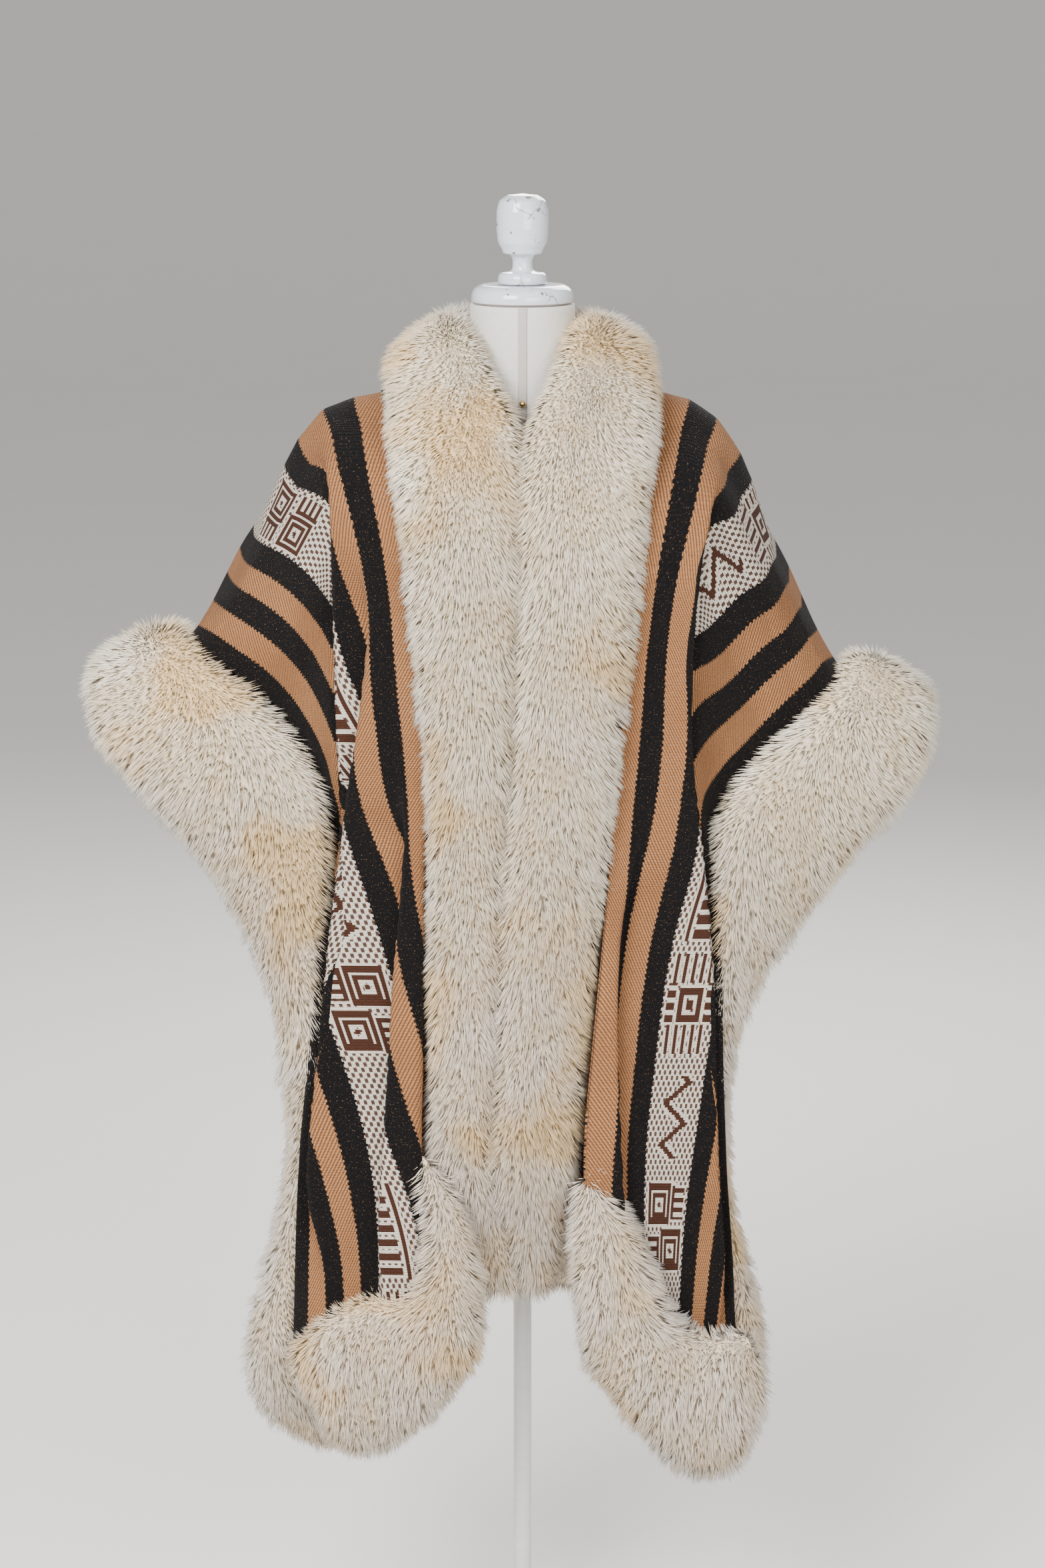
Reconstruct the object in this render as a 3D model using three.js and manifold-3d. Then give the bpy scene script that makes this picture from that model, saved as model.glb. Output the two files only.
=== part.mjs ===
// Fur-trimmed woven cape on a limbless dress form with a pole and a round base.
// Millimetres, +Z up. The front is -Y. Left and right are the wearer's, so the right side is at -X.
// The origin is on the floor, under the middle of the pole.
import * as THREE from 'three';
import { mergeVertices } from 'three/addons/utils/BufferGeometryUtils.js';
import Module from 'manifold-3d';

const wasm = await Module();
wasm.setup();

// ---- Driving dimensions ------------------------------------------------------------------
const GAP = 0.3;                 // clearance between pieces that touch
const WALL = 2.8;                // thickness of the woven cloth
const HALF_WALL = WALL / 2;
const CLOTH_EDGE = 390;          // cloth from the fur border's seam to the side trim's seam
const UNDER_BORDER = 140;        // cloth from the centre back seam to the line of the border's seam
const LAYER = 9;                 // depth from one layer of a fold to the next
const TURNED_LAYERS = 2.6;       // layers between the front edge and the cloth turned in behind it
const TURNED_FULL = 40;          // turned-in width from which that depth is full
const EDGE_ROOM = 14;            // least distance from a fold's inside to the front edge
const COLUMN_STEP = 17;          // spacing of the wall's points across the cloth
const TRIM_SIDES = 12;           // sides of a fur trim's rounded section
const CAP_SEAM = 1520;           // height of the seam between the neck and its painted cap
const NECK_RADIUS = 55;
const POLE_RADIUS = 10;
const BASE_RADIUS = 180;
const BASE_HEIGHT = 16;
const TORSO_BOTTOM = 770;

// ---- Tables of the cape's shape ------------------------------------------------------------
// out: distance from the centre plane, across: distance over the cloth from the border's seam.

// The line along the top of each shoulder and arm side, where front turns into back.
const RIDGE = {
  right: [
    { across: 0, out: 149, z: 1426 }, { across: 36, out: 177, z: 1420 }, { across: 72, out: 210, z: 1407 },
    { across: 110, out: 237, z: 1378 }, { across: 144, out: 252, z: 1349 }, { across: 229, out: 285, z: 1273 },
    { across: 295, out: 310, z: 1225 }, { across: 363, out: 346, z: 1176 }, { across: 390, out: 362, z: 1158 },
  ],
  left: [
    { across: 0, out: 146, z: 1426 }, { across: 36, out: 175, z: 1418 }, { across: 72, out: 204, z: 1399 },
    { across: 110, out: 230, z: 1362 }, { across: 144, out: 243, z: 1334 }, { across: 229, out: 270, z: 1253 },
    { across: 295, out: 298, z: 1200 }, { across: 363, out: 332, z: 1142 }, { across: 390, out: 347, z: 1122 },
  ],
};

// One row for each level of the front. z and y: height and depth of the front layer, front: its inner edge,
// turned: cloth folded behind that edge. inner, middle and arm are folds: out and across of the fold's edge,
// tuck, the cloth that it hides, and drop, how much lower its edge lies. end: the side edge of the cloth.
const FRONT = {
  right: [
    { z: 1391, y: -62, front: 138, turned: 0, arm: { out: 212, across: 87, tuck: 0, drop: 18 },
      end: { out: 336, y: -48, z: 1156 } },
    { z: 1358, y: -112, front: 132, turned: 0, arm: { out: 205, across: 89, tuck: 21 },
      end: { out: 318, y: -62, z: 1146 } },
    { z: 1311, y: -145, front: 124, turned: 0, arm: { out: 200, across: 106, tuck: 54 },
      end: { out: 295, y: -72, z: 1132 } },
    { z: 1263, y: -152, front: 118, turned: 0, arm: { out: 199, across: 126, tuck: 71 },
      end: { out: 270, y: -78, z: 1115 } },
    { z: 1208, y: -154, front: 112, turned: 0, middle: { out: 159, across: 74, tuck: 24 },
      arm: { out: 199, across: 147, tuck: 91 }, end: { out: 248, y: -86, z: 1092 } },
    { z: 1152, y: -156, front: 105, turned: 0, middle: { out: 167, across: 83, tuck: 43 },
      arm: { out: 200, across: 160, tuck: 120 }, end: { out: 230, y: -94, z: 1068 } },
    { z: 1089, y: -156, front: 99, turned: 0, middle: { out: 174, across: 102, tuck: 63 },
      arm: { out: 199, across: 188, tuck: 134 }, end: { out: 214, y: -100, z: 1040 } },
    { z: 1015, y: -156, front: 98, turned: 6, middle: { out: 188, across: 135, tuck: 100 },
      arm: { out: 195, across: 245, tuck: 120 }, end: { out: 203, y: -104, z: 1000 } },
    { z: 947, y: -156, front: 100, turned: 14, inner: { out: 127, across: 45, tuck: 48 },
      middle: { out: 197, across: 170, tuck: 200 }, end: { out: 203, y: -112, z: 947 } },
    { z: 875, y: -157, front: 102, turned: 30, inner: { out: 133, across: 70, tuck: 54 },
      middle: { out: 208, across: 199, tuck: 176 }, end: { out: 213, y: -114, z: 875 } },
    { z: 803, y: -158, front: 103, turned: 55, inner: { out: 142, across: 94, tuck: 60 },
      middle: { out: 215, across: 229, tuck: 146 }, end: { out: 220, y: -116, z: 803 } },
    { z: 730, y: -159, front: 104, turned: 75, inner: { out: 144, across: 121, tuck: 60 },
      middle: { out: 222, across: 263, tuck: 112 }, end: { out: 227, y: -118, z: 730 } },
    { z: 656, y: -160, front: 105, turned: 103, inner: { out: 151, across: 148, tuck: 62 },
      middle: { out: 231, across: 298, tuck: 77 }, end: { out: 236, y: -121, z: 656 } },
    { z: 582, y: -161, front: 106, turned: 128, inner: { out: 156, across: 184, tuck: 44 },
      middle: { out: 237, across: 332, tuck: 43 }, end: { out: 242, y: -126, z: 582 } },
    { z: 508, y: -162, front: 106, turned: 146, inner: { out: 158, across: 212, tuck: 24 },
      end: { out: 244, y: -132, z: 508 } },
    { z: 420, y: -162, front: 108, turned: 150, end: { out: 246, y: -134, z: 420 } },
  ],
  left: [
    { z: 1388, y: -62, front: 138, turned: 0, arm: { out: 204, across: 87, tuck: 0, drop: 22 },
      end: { out: 327, y: -48, z: 1122 } },
    { z: 1350, y: -112, front: 130, turned: 0, arm: { out: 203, across: 97, tuck: 0, drop: 8 },
      end: { out: 312, y: -62, z: 1108 } },
    { z: 1303, y: -145, front: 122, turned: 0, arm: { out: 195, across: 106, tuck: 40 },
      end: { out: 292, y: -72, z: 1090 } },
    { z: 1263, y: -152, front: 118, turned: 0, arm: { out: 187, across: 115, tuck: 55 },
      end: { out: 270, y: -78, z: 1070 } },
    { z: 1208, y: -154, front: 113, turned: 0, arm: { out: 181, across: 125, tuck: 85 },
      end: { out: 248, y: -86, z: 1047 } },
    { z: 1152, y: -156, front: 106, turned: 0, arm: { out: 178, across: 127, tuck: 140 },
      end: { out: 227, y: -94, z: 1024 } },
    { z: 1089, y: -156, front: 99, turned: 0, arm: { out: 178, across: 117, tuck: 192 },
      end: { out: 208, y: -100, z: 1000 } },
    { z: 1010, y: -156, front: 92, turned: 0, arm: { out: 184, across: 140, tuck: 226 },
      end: { out: 194, y: -106, z: 976 } },
    { z: 940, y: -156, front: 90, turned: 0, inner: { out: 118, across: 50, tuck: 14 },
      arm: { out: 195, across: 162, tuck: 208 }, end: { out: 201, y: -112, z: 940 } },
    { z: 872, y: -157, front: 85, turned: 0, inner: { out: 101, across: 24, tuck: 34 },
      arm: { out: 202, across: 205, tuck: 168 }, end: { out: 208, y: -114, z: 872 } },
    { z: 803, y: -158, front: 79, turned: 0, inner: { out: 101, across: 22, tuck: 50 },
      arm: { out: 207, across: 232, tuck: 142 }, end: { out: 212, y: -116, z: 803 } },
    { z: 730, y: -159, front: 71, turned: 0, inner: { out: 104, across: 33, tuck: 52 },
      arm: { out: 208, across: 250, tuck: 124 }, end: { out: 213, y: -118, z: 730 } },
    { z: 656, y: -160, front: 64, turned: 0, inner: { out: 107, across: 44, tuck: 58 },
      arm: { out: 211, across: 270, tuck: 104 }, end: { out: 216, y: -121, z: 656 } },
    { z: 582, y: -161, front: 66, turned: 0, inner: { out: 111, across: 56, tuck: 52 },
      arm: { out: 215, across: 302, tuck: 72 }, end: { out: 220, y: -126, z: 582 } },
    { z: 508, y: -162, front: 70, turned: 0, inner: { out: 115, across: 70, tuck: 40 },
      arm: { out: 221, across: 340, tuck: 36 }, end: { out: 226, y: -130, z: 508 } },
    { z: 415, y: -162, front: 74, turned: 0, inner: { out: 120, across: 84, tuck: 24 },
      end: { out: 230, y: -134, z: 415 } },
  ],
};

// One row for each level of the back. z and y: at the centre back seam, end: the right side edge of the cloth,
// left: how the left side edge differs from it, wave: height of the soft folds.
const BACK = [
  { z: 1408, y: 98, wave: 0, end: { out: 346, y: 42, z: 1136 }, left: { out: -20, z: -32 } },
  { z: 1350, y: 122, wave: 2, end: { out: 322, y: 70, z: 1110 }, left: { out: -17, z: -26 } },
  { z: 1250, y: 136, wave: 5, end: { out: 290, y: 88, z: 1075 }, left: { out: -12, z: -20 } },
  { z: 1130, y: 142, wave: 9, end: { out: 262, y: 92, z: 1030 }, left: { out: -8, z: -14 } },
  { z: 1010, y: 148, wave: 13, end: { out: 240, y: 90, z: 965 }, left: { out: -6, z: -8 } },
  { z: 880, y: 156, wave: 16, end: { out: 232, y: 80, z: 862 }, left: { out: -10, z: 0 } },
  { z: 740, y: 166, wave: 18, end: { out: 230, y: 70, z: 735 }, left: { out: -18, z: 0 } },
  { z: 610, y: 174, wave: 15, end: { out: 232, y: 62, z: 610 }, left: { out: -22, z: 0 } },
  { z: 480, y: 180, wave: 9, end: { out: 236, y: 58, z: 480 }, left: { out: -22, z: 0 } },
];
const BACK_WAVES = 3;
const NECKLINE = { y: 66, z: 1450 };   // the cloth's top edge at the centre back

// Rows of a fur strip: near and far are [out, y, z] of its two edges, thick: its depth there. Down the front
// the borders' rows say how far back the outer edge lies and how far it reaches over the cloth's edge.
const MEETING_LINE = [
  { z: 1400, x: -3 }, { z: 1198, x: -4 }, { z: 1060, x: -12 }, { z: 932, x: -22 }, { z: 755, x: -27 },
  { z: 600, x: -36 }, { z: 468, x: 2 },
];
const BORDER_LEVELS = [
  { z: 468, y: -100, back: 0, over: -36, thick: 30 }, { z: 540, y: -118, back: 6, over: -14, thick: 44 },
  { z: 620, y: -144, back: 20, over: 0, thick: 54 }, { z: 700, y: -154, back: 26, over: 1, thick: 60 },
  { z: 820, y: -156, back: 26, over: 1, thick: 62 }, { z: 930, y: -156, back: 14, over: 3, thick: 66 },
  { z: 1040, y: -156, back: 0, over: 7, thick: 70 }, { z: 1230, y: -154, back: 0, over: 8, thick: 72 },
  { z: 1320, y: -142, back: 0, over: 8, thick: 70 },
];
const BORDER_NECK = [
  { near: [4, -122, 1392], far: [140, -98, 1380], thick: 68 },
  { near: [24, -92, 1436], far: [145, -58, 1422], thick: 66 },
  { near: [46, -48, 1480], far: [142, -14, 1448], thick: 64 },
];
const COLLAR = [
  { near: [56, 0, 1496], far: [134, 24, 1456], thick: 62 },
  { near: [56, 34, 1502], far: [112, 72, 1450], thick: 60 },
  { near: [36, 58, 1504], far: [64, 112, 1446], thick: 58 },
  { near: [0, 66, 1505], far: [0, 124, 1444], thick: 58 },
];
const FRONT_HEM = {
  right: [
    { near: [236, -148, 428], far: [222, -158, 352], thick: 50 },
    { near: [208, -152, 456], far: [188, -166, 300], thick: 80 },
    { near: [168, -152, 476], far: [146, -168, 306], thick: 86 },
    { near: [134, -152, 476], far: [94, -168, 344], thick: 86 },
    { near: [110, -152, 496], far: [46, -166, 412], thick: 80 },
    { near: [104, -152, 532], far: [40, -162, 484], thick: 76 },
    { near: [104, -152, 568], far: [46, -158, 538], thick: 66 },
    { near: [110, -150, 604], far: [62, -154, 582], thick: 54 },
    { near: [112, -148, 632], far: [88, -150, 614], thick: 40 },
  ],
  left: [
    { near: [236, -146, 434], far: [256, -148, 336], thick: 50 },
    { near: [212, -152, 434], far: [222, -162, 280], thick: 80 },
    { near: [180, -152, 438], far: [172, -168, 284], thick: 86 },
    { near: [154, -152, 460], far: [116, -168, 340], thick: 86 },
    { near: [138, -152, 506], far: [68, -166, 400], thick: 80 },
    { near: [122, -152, 548], far: [54, -162, 472], thick: 74 },
    { near: [102, -152, 580], far: [48, -156, 536], thick: 62 },
    { near: [82, -150, 606], far: [52, -152, 584], thick: 48 },
  ],
};
// The side strips start at the front hem, go over the arm side and end at the back hem.
const SIDE_TRIM = {
  right: [
    { near: [178, -84, 336], far: [190, -66, 268], thick: 46 },
    { near: [214, -86, 352], far: [246, -54, 274], thick: 60 },
    { near: [236, -100, 388], far: [294, -54, 322], thick: 62 },
    { near: [242, -114, 440], far: [298, -56, 388], thick: 58 },
    { near: [240, -114, 508], far: [278, -48, 452], thick: 52 },
    { near: [234, -114, 580], far: [256, -42, 526], thick: 48 },
    { near: [226, -112, 655], far: [244, -40, 594], thick: 48 },
    { near: [220, -112, 732], far: [248, -44, 648], thick: 52 },
    { near: [216, -112, 804], far: [254, -54, 700], thick: 58 },
    { near: [212, -112, 874], far: [264, -66, 752], thick: 64 },
    { near: [205, -110, 946], far: [280, -77, 814], thick: 72 },
    { near: [207, -104, 1004], far: [306, -84, 874], thick: 78 },
    { near: [222, -98, 1050], far: [337, -86, 927], thick: 82 },
    { near: [250, -88, 1088], far: [378, -84, 978], thick: 86 },
    { near: [286, -76, 1122], far: [418, -72, 1022], thick: 88 },
    { near: [326, -50, 1146], far: [456, -44, 1062], thick: 84 },
    { near: [352, 0, 1162], far: [468, 4, 1104], thick: 82 },
    { near: [340, 46, 1136], far: [456, 52, 1062], thick: 80 },
    { near: [316, 74, 1104], far: [414, 84, 1012], thick: 80 },
    { near: [286, 88, 1068], far: [366, 98, 954], thick: 76 },
    { near: [260, 92, 1020], far: [322, 104, 894], thick: 70 },
    { near: [240, 90, 955], far: [280, 106, 832], thick: 64 },
    { near: [232, 80, 862], far: [256, 106, 756], thick: 58 },
    { near: [230, 70, 736], far: [246, 110, 664], thick: 56 },
    { near: [232, 62, 610], far: [250, 112, 562], thick: 54 },
    { near: [236, 58, 490], far: [262, 108, 464], thick: 54 },
    { near: [234, 58, 410], far: [258, 100, 390], thick: 50 },
    { near: [226, 62, 362], far: [240, 92, 352], thick: 38 },
  ],
  left: [
    { near: [192, -90, 346], far: [206, -66, 292], thick: 44 },
    { near: [214, -100, 380], far: [246, -60, 318], thick: 56 },
    { near: [222, -112, 440], far: [256, -54, 380], thick: 56 },
    { near: [216, -112, 512], far: [240, -46, 460], thick: 50 },
    { near: [208, -110, 584], far: [214, -38, 534], thick: 46 },
    { near: [203, -108, 658], far: [200, -36, 604], thick: 46 },
    { near: [203, -108, 732], far: [206, -38, 660], thick: 50 },
    { near: [205, -110, 804], far: [218, -48, 712], thick: 56 },
    { near: [204, -110, 870], far: [236, -62, 762], thick: 62 },
    { near: [201, -109, 934], far: [264, -74, 816], thick: 70 },
    { near: [201, -106, 984], far: [298, -82, 866], thick: 78 },
    { near: [224, -98, 1024], far: [330, -86, 912], thick: 82 },
    { near: [254, -88, 1056], far: [366, -84, 958], thick: 84 },
    { near: [288, -74, 1086], far: [402, -70, 992], thick: 86 },
    { near: [318, -48, 1112], far: [432, -42, 1034], thick: 84 },
    { near: [338, 0, 1132], far: [443, 4, 1080], thick: 80 },
    { near: [328, 46, 1106], far: [430, 52, 1034], thick: 80 },
    { near: [308, 72, 1080], far: [392, 82, 990], thick: 78 },
    { near: [282, 88, 1052], far: [350, 96, 938], thick: 74 },
    { near: [258, 92, 1010], far: [308, 104, 880], thick: 70 },
    { near: [238, 90, 950], far: [264, 106, 824], thick: 62 },
    { near: [222, 80, 862], far: [230, 106, 754], thick: 56 },
    { near: [212, 70, 736], far: [214, 112, 664], thick: 54 },
    { near: [210, 62, 610], far: [214, 112, 562], thick: 52 },
    { near: [214, 58, 490], far: [226, 108, 464], thick: 52 },
    { near: [214, 58, 410], far: [226, 102, 390], thick: 48 },
    { near: [206, 62, 362], far: [216, 92, 352], thick: 38 },
  ],
};
const BACK_HEM = { drop: 128, thick: 60, startAcross: -UNDER_BORDER, endAcross: 372, steps: 12 };

// Horizontal sections of the dress form: half the width, and the depth to the front and to the back.
const TORSO = [
  { z: 770, half: 158, front: 92, back: 104 }, { z: 850, half: 166, front: 96, back: 112 },
  { z: 950, half: 152, front: 88, back: 98 }, { z: 1050, half: 128, front: 78, back: 84 },
  { z: 1150, half: 142, front: 92, back: 92 }, { z: 1240, half: 158, front: 104, back: 98 },
  { z: 1320, half: 176, front: 92, back: 94 }, { z: 1370, half: 190, front: 72, back: 78 },
  { z: 1391, half: 187, front: 58, back: 62 }, { z: 1407, half: 177, front: 44, back: 48 },
  { z: 1417.5, half: 160, front: 32, back: 36 }, { z: 1424, half: 138, front: 22, back: 26 },
];
const NECK = [
  { z: 1380, half: 96, front: 66, back: 70 }, { z: 1410, half: 76, front: 62, back: 66 },
  { z: 1440, half: 64, front: 58, back: 60 }, { z: 1475, half: 58, front: 56, back: 56 },
  { z: CAP_SEAM - GAP, half: NECK_RADIUS, front: NECK_RADIUS, back: NECK_RADIUS },
];

// ---- Small helpers ---------------------------------------------------------------------------
const clampIndex = (index, list) => Math.min(Math.max(index, 0), list.length - 1);

function lerp(start, end, share) {
  return start + (end - start) * share;
}

// Value of a column of a table at a given key, straight between its rows.
function lookUp(rows, key, at, column) {
  const next = rows.findIndex((row) => (rows[0][key] < rows[1][key] ? row[key] >= at : row[key] <= at));
  if (next === 0) return rows[0][column];
  if (next < 0) return rows[rows.length - 1][column];
  const before = rows[next - 1];
  const share = (at - before[key]) / (rows[next][key] - before[key]);
  return lerp(before[column], rows[next][column], share);
}

function manifoldFrom(positions, triangles) {
  const vertProperties = new Float32Array(positions.flat());
  return new wasm.Manifold(new wasm.Mesh({ numProp: 3, vertProperties, triVerts: new Uint32Array(triangles) }));
}

function manifoldFromGeometry(geometry) {
  geometry.deleteAttribute('normal');
  geometry.deleteAttribute('uv');
  const merged = mergeVertices(geometry, 1e-4);
  return new wasm.Manifold(new wasm.Mesh({
    numProp: 3,
    vertProperties: new Float32Array(merged.attributes.position.array),
    triVerts: new Uint32Array(merged.index.array),
  }));
}

function geometryFrom(solid) {
  const mesh = solid.getMesh();
  const geometry = new THREE.BufferGeometry();
  geometry.setAttribute('position', new THREE.BufferAttribute(mesh.vertProperties, 3));
  geometry.setIndex(new THREE.BufferAttribute(mesh.triVerts, 1));
  return geometry;
}

// A cut can leave crumbs beyond a trim, so only the largest body of a solid is kept.
function largestBody(solid) {
  const bodies = solid.decompose();
  return bodies.reduce((best, body) => (body.volume() > best.volume() ? body : best));
}

// A piece stays on its own side of the centre back seam.
function ownHalf(solid, side) {
  return solid.trimByPlane([side === 'right' ? -1 : 1, 0, 0], GAP / 2);
}

// ---- The draped surface of the cloth -------------------------------------------------------------
// A front level as knots over the cloth. layer counts how far back the cloth lies.
function frontKnots(row) {
  const knots = [];
  const step = (tuck) => Math.min(LAYER, 0.4 * tuck) / LAYER;
  const depth = Math.min(1, row.turned / TURNED_FULL) * TURNED_LAYERS;
  if (row.turned > 0) {
    const bend = Math.min(10, row.turned / 4);
    knots.push({ across: 0, out: row.front, layer: 1.3 * depth });
    knots.push({ across: row.turned / 2, out: row.front + 0.4 * row.turned, layer: 1.15 * depth });
    knots.push({ across: row.turned - bend, out: row.front + bend / 2, layer: depth });
  }
  knots.push({ across: row.turned, out: row.front, layer: 0 });
  let layer = 0;
  for (const fold of [row.inner, row.middle, row.arm]) {
    if (!fold) continue;
    const rise = step(fold.tuck);
    const reach = Math.min(0.45 * fold.tuck, fold.out - row.front - EDGE_ROOM);
    const drop = fold.drop ?? 0;
    knots.push({ across: fold.across, out: fold.out, layer, drop });
    if (fold.tuck === 0) continue;
    knots.push({ across: fold.across + fold.tuck / 2, out: fold.out - reach, layer: layer + rise, drop });
    layer += 2 * rise;
    knots.push({ across: fold.across + fold.tuck, out: fold.out, layer, drop });
  }
  const list = knots.map((knot) => ({
    across: knot.across, out: knot.out, y: row.y + knot.layer * LAYER, z: row.z - (knot.drop ?? 0),
  }));
  return [...list, { across: CLOTH_EDGE, ...row.end }];
}

function frontPoint(row, across) {
  return ['out', 'y', 'z'].map((column) => lookUp(row.knots, 'across', across, column));
}

function ridgePoint(side, across) {
  if (across >= 0) {
    return [lookUp(RIDGE[side], 'across', across, 'out'), 0, lookUp(RIDGE[side], 'across', across, 'z')];
  }
  const share = -across / UNDER_BORDER;
  const start = RIDGE[side][0];
  const turn = share * Math.PI / 2;
  return [start.out * Math.cos(turn), NECKLINE.y * Math.sin(turn), lerp(start.z, NECKLINE.z, Math.sin(turn))];
}

// A back level is a part of an oval from the centre back to the side edge, with soft waves on it.
function backPoint(side, row, across) {
  const shift = side === 'left' ? row.left : { out: 0, z: 0 };
  const share = (across + UNDER_BORDER) / (CLOTH_EDGE + UNDER_BORDER);
  const turn = share * 0.86 * Math.PI / 2;
  const full = Math.sin(0.86 * Math.PI / 2);
  const rise = (1 - Math.cos(turn)) / (1 - Math.cos(0.86 * Math.PI / 2));
  const wave = row.wave * Math.sin(share * BACK_WAVES * 2 * Math.PI) * Math.sin(Math.PI * share);
  const drop = share ** 2;
  return [
    (row.end.out + shift.out) * Math.sin(turn) / full + wave * 0.4 * share,
    lerp(row.y, row.end.y, rise) + wave,
    lerp(row.z, row.end.z + shift.z, drop),
  ];
}

for (const side of ['right', 'left']) {
  for (const row of FRONT[side]) row.knots = frontKnots(row);
}

function catmullRom(points, at) {
  const index = Math.min(Math.floor(at), points.length - 2);
  const t = at - index;
  const [a, b, c, d] = [-1, 0, 1, 2].map((shift) => points[clampIndex(index + shift, points)]);
  return b.map((_, axis) => 0.5 * (2 * b[axis] + (c[axis] - a[axis]) * t
    + (2 * a[axis] - 5 * b[axis] + 4 * c[axis] - d[axis]) * t * t
    + (3 * b[axis] - a[axis] - 3 * c[axis] + d[axis]) * t * t * t));
}

// Points of one strip of cloth along the stripes, from the front hem over the ridge to the back hem.
function columnPoints(side, across) {
  const front = across >= 0 ? FRONT[side].map((row) => frontPoint(row, across)).reverse() : [];
  return [...front, ridgePoint(side, across), ...BACK.map((row) => backPoint(side, row, across))];
}

const FRONT_COUNT = FRONT.right.length;
// Stations along the stripes, in table rows: finer over the shoulder, where the cloth turns.
const STATIONS = [];
for (let station = 0; station < FRONT_COUNT - 3; station += 1) STATIONS.push(station);
for (let station = FRONT_COUNT - 3; station < FRONT_COUNT + 3; station += 0.5) STATIONS.push(station);
for (let station = FRONT_COUNT + 3; station <= FRONT_COUNT + BACK.length; station += 1) STATIONS.push(station);

const COLUMNS = [];
for (let step = 0; step < 8; step += 1) COLUMNS.push(-UNDER_BORDER + step * UNDER_BORDER / 8);
const FRONT_COLUMNS = Math.round(CLOTH_EDGE / COLUMN_STEP);
for (let step = 0; step <= FRONT_COLUMNS; step += 1) COLUMNS.push(step * CLOTH_EDGE / FRONT_COLUMNS);

// grid[column][station] is a point in real coordinates, or null where there is no cloth.
function clothGrid(side) {
  const sign = side === 'right' ? -1 : 1;
  return COLUMNS.map((across) => {
    const points = columnPoints(side, across);
    const missing = FRONT_COUNT + 1 + BACK.length - points.length;
    return STATIONS.map((station) => {
      if (station < missing) return null;
      const [out, y, z] = catmullRom(points, station - missing);
      return new THREE.Vector3(sign * out, y, z);
    });
  });
}

// Closed wall over the cells of a grid whose four corners are there.
function wallFromGrid(grid, flip) {
  const positions = [];
  const triangles = [];
  const ids = new Map();
  const at = (column, station) => grid[column]?.[station] ?? null;
  const normalAt = (column, station) => {
    const here = at(column, station);
    const along = (at(column, station + 1) ?? here).clone().sub(at(column, station - 1) ?? here);
    const over = (at(column + 1, station) ?? here).clone().sub(at(column - 1, station) ?? here);
    return over.cross(along).normalize().multiplyScalar(flip ? -1 : 1);
  };
  const idOf = (column, station, outer) => {
    const key = `${column},${station},${outer}`;
    if (!ids.has(key)) {
      const offset = normalAt(column, station).multiplyScalar(outer ? HALF_WALL : -HALF_WALL);
      const point = at(column, station).clone().add(offset);
      ids.set(key, positions.length);
      positions.push([point.x, point.y, point.z]);
    }
    return ids.get(key);
  };
  const hasCell = (column, station) => [[0, 0], [1, 0], [1, 1], [0, 1]]
    .every(([dc, ds]) => at(column + dc, station + ds));
  const quad = (a, b, c, d) => (flip ? triangles.push(a, c, b, a, d, c) : triangles.push(a, b, c, a, c, d));
  for (let column = 0; column < grid.length - 1; column += 1) {
    for (let station = 0; station < STATIONS.length - 1; station += 1) {
      if (!hasCell(column, station)) continue;
      const corners = [[column, station], [column + 1, station], [column + 1, station + 1], [column, station + 1]];
      quad(...corners.map(([c, s]) => idOf(c, s, true)));
      quad(...corners.map(([c, s]) => idOf(c, s, false)).reverse());
      const neighbours = [[column, station - 1], [column + 1, station], [column, station + 1], [column - 1, station]];
      neighbours.forEach(([c, s], edge) => {
        if (hasCell(c, s)) return;
        const [start, end] = [corners[edge], corners[(edge + 1) % 4]];
        quad(idOf(...end, true), idOf(...start, true), idOf(...start, false), idOf(...end, false));
      });
    }
  }
  return manifoldFrom(positions, triangles);
}

// ---- Fur strips -----------------------------------------------------------------------------------
// A closed strip with a rounded section through its rows. grow makes it larger all round, for cuts.
function furStrip(rows, grow = 0) {
  const mids = rows.map((row) => row.near.clone().add(row.far).multiplyScalar(0.5));
  const positions = [];
  rows.forEach((row, index) => {
    const along = mids[clampIndex(index + 1, mids)].clone().sub(mids[clampIndex(index - 1, mids)]).normalize();
    const width = row.far.clone().sub(row.near);
    const half = width.length() / 2 + grow;
    width.normalize();
    const depth = width.clone().cross(along).normalize().multiplyScalar(row.thick / 2 + grow);
    const isEnd = index === 0 ? -1 : Number(index === rows.length - 1);
    const middle = mids[index].clone().addScaledVector(along, isEnd * grow);
    for (let side = 0; side < TRIM_SIDES; side += 1) {
      const turn = (side + 0.5) / TRIM_SIDES * 2 * Math.PI;
      const round = (value) => Math.sign(value) * Math.abs(value) ** 0.8;
      const point = middle.clone().addScaledVector(width, half * round(Math.cos(turn)))
        .addScaledVector(depth, round(Math.sin(turn)));
      positions.push([point.x, point.y, point.z]);
    }
  });
  const triangles = [];
  const last = (rows.length - 1) * TRIM_SIDES;
  for (let index = 0; index < rows.length - 1; index += 1) {
    for (let side = 0; side < TRIM_SIDES; side += 1) {
      const next = (side + 1) % TRIM_SIDES;
      const [a, b] = [index * TRIM_SIDES + side, index * TRIM_SIDES + next];
      triangles.push(a, b, b + TRIM_SIDES, a, b + TRIM_SIDES, a + TRIM_SIDES);
    }
  }
  for (let side = 1; side < TRIM_SIDES - 1; side += 1) {
    triangles.push(0, side + 1, side, last, last + side, last + side + 1);
  }
  const solid = manifoldFrom(positions, triangles);
  if (solid.volume() > 0) return solid;
  const turned = triangles.map((_, i) => triangles[i - (i % 3) + [0, 2, 1][i % 3]]);
  return manifoldFrom(positions, turned);
}

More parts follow.
